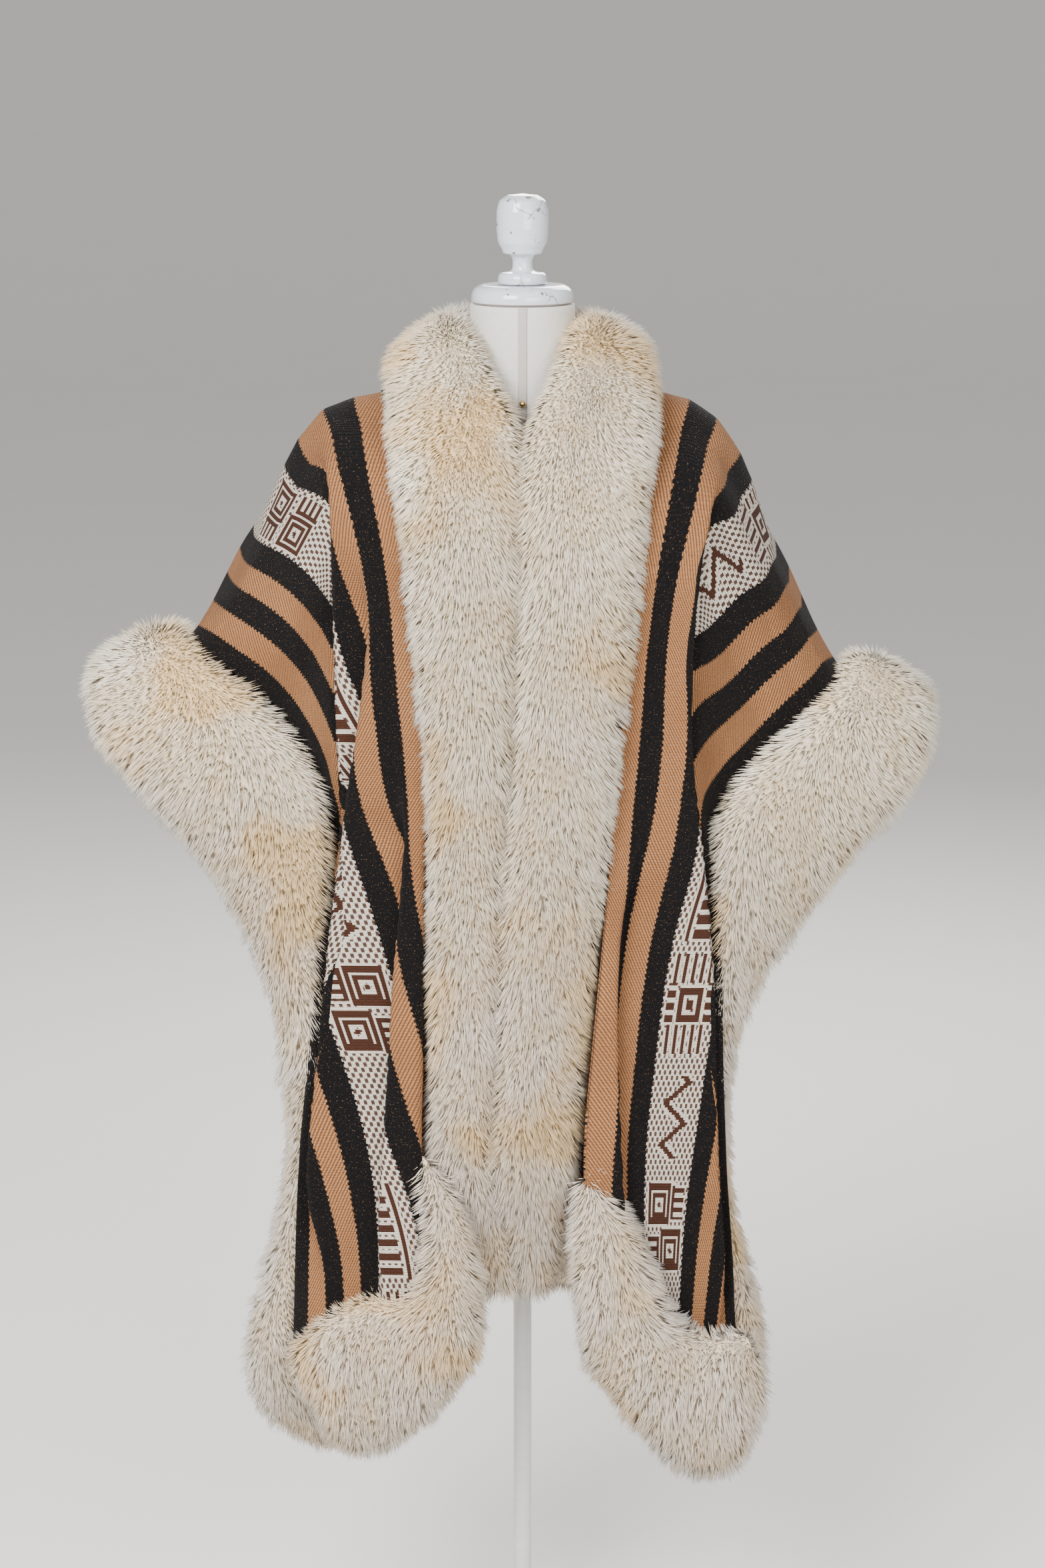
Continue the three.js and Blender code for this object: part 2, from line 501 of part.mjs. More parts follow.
function placed(rows, side) {
  const sign = side === 'right' ? -1 : 1;
  const point = ([out, y, z]) => new THREE.Vector3(sign * out, y, z);
  return rows.map((row) => ({ near: point(row.near), far: point(row.far), thick: row.thick }));
}

// The borders meet on a line that wanders a little from the middle.
function borderRows(side) {
  const sign = side === 'right' ? -1 : 1;
  const levels = BORDER_LEVELS.map(({ z, y, back, over, thick }) => {
    const meeting = sign * lookUp(MEETING_LINE, 'z', z, 'x') + GAP / 2;
    const far = lookUp(FRONT[side], 'z', z, 'front') + over;
    return { near: [meeting, y, z], far: [far, y + back, z], thick };
  });
  return placed([...levels, ...BORDER_NECK, COLLAR[0]], side);
}

function collarRows() {
  const right = placed(COLLAR, 'right');
  const left = placed(COLLAR.slice(0, -1), 'left').reverse();
  return [...right, ...left];
}

function backHemRows(side) {
  const sign = side === 'right' ? -1 : 1;
  const rows = [];
  for (let step = 0; step <= BACK_HEM.steps; step += 1) {
    const across = lerp(BACK_HEM.startAcross, BACK_HEM.endAcross, step / BACK_HEM.steps);
    const [out, y, z] = backPoint(side, BACK[BACK.length - 1], across);
    const near = new THREE.Vector3(sign * out, y, z + 8);
    const far = near.clone().add(new THREE.Vector3(0, 4, -BACK_HEM.drop));
    rows.push({ near, far, thick: BACK_HEM.thick });
  }
  return rows;
}

// ---- Dress form -------------------------------------------------------------------------------------
const FORM_SIDES = 28;

function ovalLoft(levels, grow = 0) {
  const positions = [];
  levels.forEach(({ z, half, front, back }, index) => {
    const shift = index === levels.length - 1 ? grow : 0;
    for (let side = 0; side < FORM_SIDES; side += 1) {
      const turn = side / FORM_SIDES * 2 * Math.PI;
      const depth = Math.sin(turn) < 0 ? front : back;
      positions.push([(half + grow) * Math.cos(turn), (depth + grow) * Math.sin(turn), z + shift]);
    }
  });
  const triangles = [];
  for (let index = 0; index < levels.length - 1; index += 1) {
    for (let side = 0; side < FORM_SIDES; side += 1) {
      const [a, b] = [index * FORM_SIDES + side, index * FORM_SIDES + (side + 1) % FORM_SIDES];
      triangles.push(a, b, b + FORM_SIDES, a, b + FORM_SIDES, a + FORM_SIDES);
    }
  }
  const last = (levels.length - 1) * FORM_SIDES;
  for (let side = 1; side < FORM_SIDES - 1; side += 1) {
    triangles.push(0, side + 1, side, last, last + side, last + side + 1);
  }
  return manifoldFrom(positions, triangles);
}

function formSolid(grow = 0) {
  return ovalLoft(TORSO, grow).add(ovalLoft(NECK, grow));
}

// A turned piece about the vertical axis from its profile of [radius, z].
function turned(profile, segments = 32) {
  const lathe = new THREE.LatheGeometry(profile.map(([radius, z]) => new THREE.Vector2(radius, z)), segments);
  lathe.rotateX(Math.PI / 2);
  return manifoldFromGeometry(lathe);
}

const capProfile = [
  [0, CAP_SEAM], [52.5, CAP_SEAM], [54.3, CAP_SEAM + 4], [54, CAP_SEAM + 10], [51, CAP_SEAM + 16],
  [44, CAP_SEAM + 20], [0, CAP_SEAM + 20],
];
const FINIAL_BOTTOM = CAP_SEAM + 20 + GAP;
const finialProfile = [
  [0, FINIAL_BOTTOM], [25.5, FINIAL_BOTTOM], [26.2, FINIAL_BOTTOM + 4], [24.5, FINIAL_BOTTOM + 9],
  [17, FINIAL_BOTTOM + 12], [11, FINIAL_BOTTOM + 17], [10.4, FINIAL_BOTTOM + 25], [13, FINIAL_BOTTOM + 30.5],
  [21, FINIAL_BOTTOM + 32], [21.6, FINIAL_BOTTOM + 35.5], [26, FINIAL_BOTTOM + 43], [27.6, FINIAL_BOTTOM + 57],
  [27.4, FINIAL_BOTTOM + 76], [24.5, FINIAL_BOTTOM + 87], [16, FINIAL_BOTTOM + 92.5], [0, FINIAL_BOTTOM + 94],
];
const TAPE = { width: 9, thick: 0.8, top: CAP_SEAM - 0.6, bottom: 1400 };
const PIN = { radius: 3.6, z: 1421 };

// Depth of the neck's front, which the tape lies on.
function neckFront(z) {
  return -lookUp(NECK, 'z', z, 'front');
}

function tapeSolid() {
  const levels = [];
  const half = TAPE.width / 2;
  for (const { z } of [{ z: TAPE.bottom }, ...NECK.slice(1, -1), { z: TAPE.top }]) {
    const y = neckFront(z) - GAP;
    levels.push([[-half, y, z], [half, y, z], [half, y - TAPE.thick, z], [-half, y - TAPE.thick, z]]);
  }
  const triangles = [];
  for (let level = 0; level < levels.length - 1; level += 1) {
    for (let side = 0; side < 4; side += 1) {
      const [a, b] = [level * 4 + side, level * 4 + (side + 1) % 4];
      triangles.push(a, b + 4, b, a, a + 4, b + 4);
    }
  }
  const last = (levels.length - 1) * 4;
  triangles.push(0, 1, 2, 0, 2, 3, last, last + 2, last + 1, last, last + 3, last + 2);
  return manifoldFrom(levels.flat(), triangles);
}

function pinSolid() {
  const head = new THREE.SphereGeometry(PIN.radius, 12, 8);
  head.translate(0, neckFront(PIN.z) - 2 * GAP - TAPE.thick - PIN.radius, PIN.z);
  return manifoldFromGeometry(head);
}

const poleProfile = [
  [0, BASE_HEIGHT + GAP], [POLE_RADIUS, BASE_HEIGHT + GAP], [POLE_RADIUS, TORSO_BOTTOM - GAP],
  [0, TORSO_BOTTOM - GAP],
];
const baseProfile = [
  [0, 0], [BASE_RADIUS - 2, 0], [BASE_RADIUS, 2], [BASE_RADIUS, BASE_HEIGHT - 7], [BASE_RADIUS - 6, BASE_HEIGHT - 2],
  [BASE_RADIUS - 14, BASE_HEIGHT], [0, BASE_HEIGHT],
];

// ---- Assembly ------------------------------------------------------------------------------------------
const solids = {};
const grownForm = formSolid(GAP);

solids.torso = formSolid();
solids.neck_cap = turned(capProfile);
solids.finial = turned(finialProfile, 24);
solids.neck_tape = tapeSolid();
solids.pin = pinSolid();
solids.pole = turned(poleProfile, 20);
solids.base = turned(baseProfile, 40);

const collarCut = furStrip(collarRows(), GAP);
solids.collar = largestBody(furStrip(collarRows()).subtract(grownForm));

for (const side of ['right', 'left']) {
  const border = furStrip(borderRows(side));
  const borderCut = furStrip(borderRows(side), GAP);
  const hem = furStrip(placed(FRONT_HEM[side], side));
  const hemCut = furStrip(placed(FRONT_HEM[side], side), GAP);
  const trim = furStrip(placed(SIDE_TRIM[side], side));
  const trimCut = furStrip(placed(SIDE_TRIM[side], side), GAP);
  const backHem = furStrip(backHemRows(side));
  const backHemCut = furStrip(backHemRows(side), GAP);
  solids[`border_${side}`] = largestBody(border.subtract(grownForm).subtract(collarCut));
  solids[`front_hem_${side}`] = largestBody(hem.subtract(borderCut));
  solids[`side_trim_${side}`] = largestBody(trim.subtract(hemCut).subtract(grownForm));
  solids[`back_hem_${side}`] = largestBody(ownHalf(backHem.subtract(trimCut), side));
  const cloth = wallFromGrid(clothGrid(side), side === 'right');
  const cuts = [borderCut, hemCut, trimCut, backHemCut, collarCut];
  solids[`cloth_${side}`] = largestBody(ownHalf(cuts.reduce((left, cut) => left.subtract(cut), cloth), side));
}
solids.border_left = largestBody(solids.border_left.subtract(furStrip(borderRows('right'), GAP)));

const MATERIALS = {
  cloth: { color: 0x6f5545, roughness: 0.95, metalness: 0 },
  fur: { color: 0xdccfba, roughness: 0.9, metalness: 0 },
  form: { color: 0xcfcec8, roughness: 0.85, metalness: 0 },
  paint: { color: 0xd3dbe2, roughness: 0.25, metalness: 0 },
  tape: { color: 0xb6b0a6, roughness: 0.5, metalness: 0 },
  gold: { color: 0xc49a45, roughness: 0.3, metalness: 1 },
};
const FINISH = {
  torso: 'form', neck_cap: 'paint', finial: 'paint', neck_tape: 'tape', pin: 'gold', pole: 'paint', base: 'paint',
  cloth_right: 'cloth', cloth_left: 'cloth',
};

const group = new THREE.Group();
for (const [name, solid] of Object.entries(solids)) {
  const material = new THREE.MeshStandardMaterial(MATERIALS[FINISH[name] ?? 'fur']);
  const mesh = new THREE.Mesh(geometryFrom(solid), material);
  mesh.name = name;
  group.add(mesh);
}

export default group;
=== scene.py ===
"""Fur-trimmed woven cape on a limbless dress form, with its finishes, light and camera.

Metres, +Z up. The front is -Y. Left and right are the wearer's, so the right side is at -X. The tables
hold millimetres, and the pieces are made from them in the place that the frame gives.
"""
import math

import bpy
import numpy as np
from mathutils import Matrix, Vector, noise
from mathutils.bvhtree import BVHTree


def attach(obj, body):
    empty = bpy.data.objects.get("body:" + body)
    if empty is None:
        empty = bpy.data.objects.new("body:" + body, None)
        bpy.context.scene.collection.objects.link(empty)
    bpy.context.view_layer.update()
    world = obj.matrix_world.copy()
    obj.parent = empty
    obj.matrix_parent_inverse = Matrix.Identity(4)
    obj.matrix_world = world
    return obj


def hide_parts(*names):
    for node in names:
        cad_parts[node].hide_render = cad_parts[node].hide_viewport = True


bl_info = {
    "name": "Fur Cape on a Dress Form",
    "version": (1, 0, 0),
    "blender": (4, 5, 0),
    "location": "3D View > Sidebar > Cape",
    "description": "Builds a woven cape with fur trims on a dress form, with its finishes and stage",
    "category": "Object",
}

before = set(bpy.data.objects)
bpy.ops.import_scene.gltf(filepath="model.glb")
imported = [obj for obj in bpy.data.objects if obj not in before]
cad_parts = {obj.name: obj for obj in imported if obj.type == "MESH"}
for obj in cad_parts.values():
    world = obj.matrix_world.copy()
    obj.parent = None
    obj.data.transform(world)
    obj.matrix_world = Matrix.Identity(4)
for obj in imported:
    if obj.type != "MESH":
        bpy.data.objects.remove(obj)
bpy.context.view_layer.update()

MM = 0.001
FULL_TURN = 2 * math.pi
SIDES = {"right": -1, "left": 1}          # the sign of x on each side
FOLDS = ("inner", "middle", "arm")

# ---- Sizes, in millimetres if not said otherwise --------------------------------------------------------
GAP = 0.3
CLOTH_EDGE = 390          # cloth from the fur border's seam to the side trim's seam
UNDER_BORDER = 140        # cloth from the centre back seam to the line of the border's seam
LAYER = 9                 # depth from one layer of a fold to the next
TURNED_LAYERS = 2.6       # layers between the front edge and the cloth turned in behind it
TURNED_FULL = 40          # turned-in width from which that depth is full
EDGE_ROOM = 14            # least distance from a fold's inside to the front edge
FOLD_ROOM = 3             # least distance over the cloth from one fold to the next
FOLD_SOFTNESS = 5.5       # how soft the folds' bends are over the cloth
LEVEL_SOFTNESS = 0.42     # how soft they are along it, in rows of its table
BACK_WAVES = 3            # soft waves over each half of the back
BACK_SWEEP = 0.86         # share of a quarter turn from the centre back to the side edge
NECKLINE_Y, NECKLINE_Z = 66, 1450         # the cloth's top edge at the centre back
COLLAR_FRONT = -105       # the cloth goes on under the collar behind this depth
COLLAR_REACH = 60         # how far it goes on there
COLLAR_CLEAR = 3          # its least height over the form's shoulder
CAP_SEAM = 1520           # height of the seam between the neck and its painted cap
CAP_HEIGHT = 20
NECK_RADIUS = 55
POLE_RADIUS = 10
BASE_RADIUS = 180
BASE_HEIGHT = 16
TORSO_BOTTOM = 770
PIN_HEIGHT = 1421
RIBBON_BOTTOM = 1402
LEAST_RADIUS = 0.2        # of a turned piece at its axis
LEAST_HALF = 6            # half the width of a fur trim's skin
LEAST_DEEP = 5            # half its depth
ROUNDNESS = 0.8           # exponent of its section, where 1 is an oval
HANGING = (0, -0.35, -1.0)                # where the pile hangs to
ABOVE_ALL = 2.0           # a height over everything, in metres

# The shoulder line: distance over the cloth from the border's seam, distance from the centre
# plane, and height.
RIDGE = {
    "right": (
        (0, 149, 1426), (36, 177, 1420), (72, 210, 1407), (110, 237, 1378), (144, 252, 1349),
        (229, 285, 1273), (295, 310, 1225), (363, 346, 1176), (390, 362, 1158),
    ),
    "left": (
        (0, 146, 1426), (36, 175, 1418), (72, 204, 1399), (110, 230, 1362), (144, 243, 1334),
        (229, 270, 1253), (295, 298, 1200), (363, 332, 1142), (390, 347, 1122),
    ),
}

# One row for each level of the front: height, depth and inner edge of its front layer, width of the cloth
# folded behind that edge, and out, y and z of the side edge. Then its folds: out and across of the fold's
# edge, the cloth that it hides, and how much lower its edge lies if it does.
FRONT = {
    "right": (
        (1391, -62, 138, 0, (336, -48, 1156), {"arm": (212, 87, 0, 18)}),
        (1358, -112, 132, 0, (318, -62, 1146), {"arm": (205, 89, 21)}),
        (1311, -145, 124, 0, (295, -72, 1132), {"arm": (200, 106, 54)}),
        (1263, -152, 118, 0, (270, -78, 1115), {"arm": (199, 126, 71)}),
        (1208, -154, 112, 0, (248, -86, 1092), {"middle": (159, 74, 24), "arm": (199, 147, 91)}),
        (1152, -156, 105, 0, (230, -94, 1068), {"middle": (167, 83, 43), "arm": (200, 160, 120)}),
        (1089, -156, 99, 0, (214, -100, 1040), {"middle": (174, 102, 63), "arm": (199, 188, 134)}),
        (1015, -156, 98, 6, (203, -104, 1000), {"middle": (188, 135, 100), "arm": (195, 245, 120)}),
        (947, -156, 100, 14, (203, -112, 947), {"inner": (127, 45, 48), "middle": (197, 170, 200)}),
        (875, -157, 102, 30, (213, -114, 875), {"inner": (133, 70, 54), "middle": (208, 199, 176)}),
        (803, -158, 103, 55, (220, -116, 803), {"inner": (142, 94, 60), "middle": (215, 229, 146)}),
        (730, -159, 104, 75, (227, -118, 730), {"inner": (144, 121, 60), "middle": (222, 263, 112)}),
        (656, -160, 105, 103, (236, -121, 656), {"inner": (151, 148, 62), "middle": (231, 298, 77)}),
        (582, -161, 106, 128, (242, -126, 582), {"inner": (156, 184, 44), "middle": (237, 332, 43)}),
        (508, -162, 106, 146, (244, -132, 508), {"inner": (158, 212, 24)}),
        (420, -162, 108, 150, (246, -134, 420), {}),
    ),
    "left": (
        (1388, -62, 138, 0, (327, -48, 1122), {"arm": (204, 87, 0, 22)}),
        (1350, -112, 130, 0, (312, -62, 1108), {"arm": (203, 97, 0, 8)}),
        (1303, -145, 122, 0, (292, -72, 1090), {"arm": (195, 106, 40)}),
        (1263, -152, 118, 0, (270, -78, 1070), {"arm": (187, 115, 55)}),
        (1208, -154, 113, 0, (248, -86, 1047), {"arm": (181, 125, 85)}),
        (1152, -156, 106, 0, (227, -94, 1024), {"arm": (178, 127, 140)}),
        (1089, -156, 99, 0, (208, -100, 1000), {"arm": (178, 117, 192)}),
        (1010, -156, 92, 0, (194, -106, 976), {"arm": (184, 140, 226)}),
        (940, -156, 90, 0, (201, -112, 940), {"inner": (118, 50, 14), "arm": (195, 162, 208)}),
        (872, -157, 85, 0, (208, -114, 872), {"inner": (101, 24, 34), "arm": (202, 205, 168)}),
        (803, -158, 79, 0, (212, -116, 803), {"inner": (101, 22, 50), "arm": (207, 232, 142)}),
        (730, -159, 71, 0, (213, -118, 730), {"inner": (104, 33, 52), "arm": (208, 250, 124)}),
        (656, -160, 64, 0, (216, -121, 656), {"inner": (107, 44, 58), "arm": (211, 270, 104)}),
        (582, -161, 66, 0, (220, -126, 582), {"inner": (111, 56, 52), "arm": (215, 302, 72)}),
        (508, -162, 70, 0, (226, -130, 508), {"inner": (115, 70, 40), "arm": (221, 340, 36)}),
        (415, -162, 74, 0, (230, -134, 415), {"inner": (120, 84, 24)}),
    ),
}

# One row for each level of the back: height and depth at the centre seam, height of the soft waves, out, y
# and z of the right side edge, and how the left one differs in out and z.
BACK = (
    (1408, 98, 0, (346, 42, 1136), (-20, -32)), (1350, 122, 2, (322, 70, 1110), (-17, -26)),
    (1250, 136, 5, (290, 88, 1075), (-12, -20)), (1130, 142, 9, (262, 92, 1030), (-8, -14)),
    (1010, 148, 13, (240, 90, 965), (-6, -8)), (880, 156, 16, (232, 80, 862), (-10, 0)),
    (740, 166, 18, (230, 70, 735), (-18, 0)), (610, 174, 15, (232, 62, 610), (-22, 0)),
    (480, 180, 9, (236, 58, 480), (-22, 0)),
)

# The line where the two borders meet: height and x. Then the borders down the front: height, depth, how far
# back the outer edge lies, how far it reaches over the cloth's edge, and the strip's own depth.
MEETING_LINE = (
    (1400, -3), (1198, -4), (1060, -12), (932, -22), (755, -27), (600, -36), (468, 2),
)
BORDER_LEVELS = (
    (468, -100, 0, -36, 30), (540, -118, 6, -14, 44), (620, -144, 20, 0, 54), (700, -154, 26, 1, 60),
    (820, -156, 26, 1, 62), (930, -156, 14, 3, 66), (1040, -156, 0, 7, 70), (1230, -154, 0, 8, 72),
    (1320, -142, 0, 8, 70),
)

# Rows of a fur strip: out, y and z of its near edge, the same of its far edge, and its depth there.
BORDER_NECK = (
    (4, -122, 1392, 140, -98, 1380, 68), (24, -92, 1436, 145, -58, 1422, 66),
    (46, -48, 1480, 142, -14, 1448, 64),
)
COLLAR = (
    (56, 0, 1496, 134, 24, 1456, 62), (56, 34, 1502, 112, 72, 1450, 60), (36, 58, 1504, 64, 112, 1446, 58),
    (0, 66, 1505, 0, 124, 1444, 58),
)
FRONT_HEM = {
    "right": (
        (236, -148, 428, 222, -158, 352, 50), (208, -152, 456, 188, -166, 300, 80),
        (168, -152, 476, 146, -168, 306, 86), (134, -152, 476, 94, -168, 344, 86),
        (110, -152, 496, 46, -166, 412, 80), (104, -152, 532, 40, -162, 484, 76),
        (104, -152, 568, 46, -158, 538, 66), (110, -150, 604, 62, -154, 582, 54),
        (112, -148, 632, 88, -150, 614, 40),
    ),
    "left": (
        (236, -146, 434, 256, -148, 336, 50), (212, -152, 434, 222, -162, 280, 80),
        (180, -152, 438, 172, -168, 284, 86), (154, -152, 460, 116, -168, 340, 86),
        (138, -152, 506, 68, -166, 400, 80), (122, -152, 548, 54, -162, 472, 74),
        (102, -152, 580, 48, -156, 536, 62), (82, -150, 606, 52, -152, 584, 48),
    ),
}
# The side strips start at the front hem, go over the arm side and end at the back hem.
SIDE_TRIM = {
    "right": (
        (178, -84, 336, 190, -66, 268, 46), (214, -86, 352, 246, -54, 274, 60),
        (236, -100, 388, 294, -54, 322, 62), (242, -114, 440, 298, -56, 388, 58),
        (240, -114, 508, 278, -48, 452, 52), (234, -114, 580, 256, -42, 526, 48),
        (226, -112, 655, 244, -40, 594, 48), (220, -112, 732, 248, -44, 648, 52),
        (216, -112, 804, 254, -54, 700, 58), (212, -112, 874, 264, -66, 752, 64),
        (205, -110, 946, 280, -77, 814, 72), (207, -104, 1004, 306, -84, 874, 78),
        (222, -98, 1050, 337, -86, 927, 82), (250, -88, 1088, 378, -84, 978, 86),
        (286, -76, 1122, 418, -72, 1022, 88), (326, -50, 1146, 456, -44, 1062, 84),
        (352, 0, 1162, 468, 4, 1104, 82), (340, 46, 1136, 456, 52, 1062, 80),
        (316, 74, 1104, 414, 84, 1012, 80), (286, 88, 1068, 366, 98, 954, 76),
        (260, 92, 1020, 322, 104, 894, 70), (240, 90, 955, 280, 106, 832, 64),
        (232, 80, 862, 256, 106, 756, 58), (230, 70, 736, 246, 110, 664, 56),
        (232, 62, 610, 250, 112, 562, 54), (236, 58, 490, 262, 108, 464, 54),
        (234, 58, 410, 258, 100, 390, 50), (226, 62, 362, 240, 92, 352, 38),
    ),
    "left": (
        (192, -90, 346, 206, -66, 292, 44), (214, -100, 380, 246, -60, 318, 56),
        (222, -112, 440, 256, -54, 380, 56), (216, -112, 512, 240, -46, 460, 50),
        (208, -110, 584, 214, -38, 534, 46), (203, -108, 658, 200, -36, 604, 46),
        (203, -108, 732, 206, -38, 660, 50), (205, -110, 804, 218, -48, 712, 56),
        (204, -110, 870, 236, -62, 762, 62), (201, -109, 934, 264, -74, 816, 70),
        (201, -106, 984, 298, -82, 866, 78), (224, -98, 1024, 330, -86, 912, 82),
        (254, -88, 1056, 366, -84, 958, 84), (288, -74, 1086, 402, -70, 992, 86),
        (318, -48, 1112, 432, -42, 1034, 84), (338, 0, 1132, 443, 4, 1080, 80),
        (328, 46, 1106, 430, 52, 1034, 80), (308, 72, 1080, 392, 82, 990, 78),
        (282, 88, 1052, 350, 96, 938, 74), (258, 92, 1010, 308, 104, 880, 70),
        (238, 90, 950, 264, 106, 824, 62), (222, 80, 862, 230, 106, 754, 56),
        (212, 70, 736, 214, 112, 664, 54), (210, 62, 610, 214, 112, 562, 52),
        (214, 58, 490, 226, 108, 464, 52), (214, 58, 410, 226, 102, 390, 48),
        (206, 62, 362, 216, 92, 352, 38),
    ),
}
BACK_HEM_DROP, BACK_HEM_THICK, BACK_HEM_END, BACK_HEM_STEPS = 128, 60, 372, 12

# Horizontal sections of the dress form: height, half the width, and the depth to the front and to the back.
TORSO = (
    (770, 158, 92, 104), (850, 166, 96, 112), (950, 152, 88, 98), (1050, 128, 78, 84), (1150, 142, 92, 92),
    (1240, 158, 104, 98), (1320, 176, 92, 94), (1370, 190, 72, 78), (1391, 187, 58, 62), (1407, 177, 44, 48),
    (1417.5, 160, 32, 36), (1424, 138, 22, 26),
)
NECK = (
    (1380, 96, 66, 70), (1410, 76, 62, 66), (1440, 64, 58, 60), (1475, 58, 56, 56),
    (CAP_SEAM - GAP, NECK_RADIUS, NECK_RADIUS, NECK_RADIUS),
)

# Turned pieces by the name of their solid: the piece's name, the distance between its profile's points, how
# soft its corners are, its sides, the height of its bottom, and its profile as radius and height over that.
POLE_BOTTOM = BASE_HEIGHT + GAP
POLE_LENGTH = TORSO_BOTTOM - GAP - POLE_BOTTOM
TURNED = {
    "neck_cap": ("painted_cap", 1.5, 1.2, 72, CAP_SEAM, (
        (0, 0), (52.5, 0), (54.3, 4), (54, 10), (51, 16), (44, CAP_HEIGHT), (0, CAP_HEIGHT))),
    "finial": ("painted_knob", 1.6, 0.9, 64, CAP_SEAM + CAP_HEIGHT + GAP, (
        (0, 0), (25.5, 0), (26.2, 4), (25.4, 9.5), (23, 12), (12.4, 13), (10.6, 17), (10.4, 25), (13, 30.5),
        (21, 32), (21.6, 35.5), (26, 43), (27.6, 57), (27.4, 76), (24.5, 87), (16, 92.5), (0, 94))),
    "pole": ("stand_pole", 8.0, 0.2, 32, POLE_BOTTOM, (
        (0, 0), (POLE_RADIUS, 0), (POLE_RADIUS, POLE_LENGTH), (0, POLE_LENGTH))),
    "base": ("stand_base", 4.0, 0.5, 72, 0, (
        (0, 0), (BASE_RADIUS - 2, 0), (BASE_RADIUS, 2), (BASE_RADIUS, BASE_HEIGHT - 7),
        (BASE_RADIUS - 6, BASE_HEIGHT - 2), (BASE_RADIUS - 14, BASE_HEIGHT), (0, BASE_HEIGHT))),
}

# Stripes of the loom width by their far edges, from the border's seam. The cloth under the border and down
# the centre back goes on in the same widths.
STRIPES = (
    (-140, "black"), (-108, "tan"), (-72, "black"), (-36, "tan"), (0, "black"), (36, "tan"), (72, "black"),
    (110, "tan"), (144, "black"), (229, "figured"), (263, "black"), (295, "tan"), (329, "black"),
    (363, "tan"), (400, "black"),
)
# The figured stripe, in metres: its middle, the length that one figure takes, how far into the row of
# figures the right hem lies, how much further on the left one does, the weave's steps in a figure, and how
# far the dashes stay clear of one.
FIGURE_MIDDLE = 0.1865
FIGURE_PLOT = 0.124
FIGURE_START = 0.548
FIGURE_SHIFT = {"right": 0.0, "left": 2 * FIGURE_PLOT}
FIGURE_PICK = 0.0027
FIGURE_CLEAR = 0.003


# ---- Numbers and rings ----------------------------------------------------------------------------------
def blurred(values, sigma):
    """Rows of values, softened with a bell of that many rows. The ends keep their place."""
    reach = max(1, int(3 * sigma))
    weights = np.exp(-0.5 * (np.arange(-reach, reach + 1) / sigma) ** 2)
    weights /= weights.sum()
    head = 2 * values[:1] - values[1:reach + 1][::-1]
    tail = 2 * values[-1:] - values[-reach - 1:-1][::-1]
    padded = np.concatenate([head, values, tail])
    return sum(weight * padded[i:i + len(values)] for i, weight in enumerate(weights))


def catmull(points, steps):
    """Points of a smooth line through rows of numbers, with that many steps from one row to the next."""
    points = np.asarray(points, float)
    padded = np.concatenate([points[:1], points, points[-1:]])
    result = []
    for index in range(len(points) - 1):
        a, b, c, d = padded[index:index + 4]
        for t in np.arange(steps) / steps:
            result.append(0.5 * (2 * b + (c - a) * t + (2 * a - 5 * b + 4 * c - d) * t * t
                                 + (3 * b - a - 3 * c + d) * t ** 3))
    return np.array(result + [points[-1]])


def unit(vectors):
    length = np.linalg.norm(vectors, axis=-1, keepdims=True)
    return vectors / np.maximum(length, 1e-9)


def oval_rings(rows, sides):
    """Level rings of points, from rows of height, half the width, and depth to front and back."""
    turn = np.arange(sides) / sides * FULL_TURN
    return np.array([np.stack([half * np.cos(turn), np.where(np.sin(turn) < 0, front, back) * np.sin(turn),
                               np.full(sides, z)], axis=1) for z, half, front, back in rows])


def between_rings(count, sides):
    """The faces from each ring of points to the next."""
    edges = [(r * sides + s, r * sides + (s + 1) % sides) for r in range(count - 1) for s in range(sides)]
    return [(a, b, b + sides, a + sides) for a, b in edges]


# ---- Meshes ---------------------------------------------------------------------------------------------
def mesh_object(name, points, faces):
    mesh = bpy.data.meshes.new(name)
    mesh.from_pydata([tuple(point) for point in points], [], faces)
    mesh.validate()
    mesh.polygons.foreach_set("use_smooth", [True] * len(mesh.polygons))
    mesh.update()
    obj = bpy.data.objects.new(name, mesh)
    bpy.context.scene.collection.objects.link(obj)
    return obj


def ring_stack(name, rings):
    """A closed piece from rings of points, the lowest first, each turning the same way."""
    count, sides = len(rings), len(rings[0])
    points = np.concatenate([rings.reshape(-1, 3), rings[0].mean(0)[None], rings[-1].mean(0)[None]])
    low, high, last = count * sides, count * sides + 1, (count - 1) * sides
    faces = between_rings(count, sides)
    faces += [(low, (s + 1) % sides, s) for s in range(sides)]
    faces += [(high, last + s, last + (s + 1) % sides) for s in range(sides)]
    return mesh_object(name, points, faces)


def keep_values(mesh, **layers):
    """Keeps one number or one vector for each point of a mesh, for its material or its fur."""
    for name, values in layers.items():
        values = np.asarray(values, np.float32)
        kind, key = ("FLOAT", "value") if values.ndim == 1 else ("FLOAT_VECTOR", "vector")
        mesh.attributes.new(name, kind, "POINT").data.foreach_set(key, values.ravel())


def apply_modifier(obj, modifier):
    mesh = bpy.data.meshes.new_from_object(obj.evaluated_get(bpy.context.evaluated_depsgraph_get()))
    obj.modifiers.remove(modifier)
    obj.data = mesh


def solid_tree(name):
    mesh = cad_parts[name].data
    return BVHTree.FromPolygons([v.co for v in mesh.vertices], [p.vertices for p in mesh.polygons])


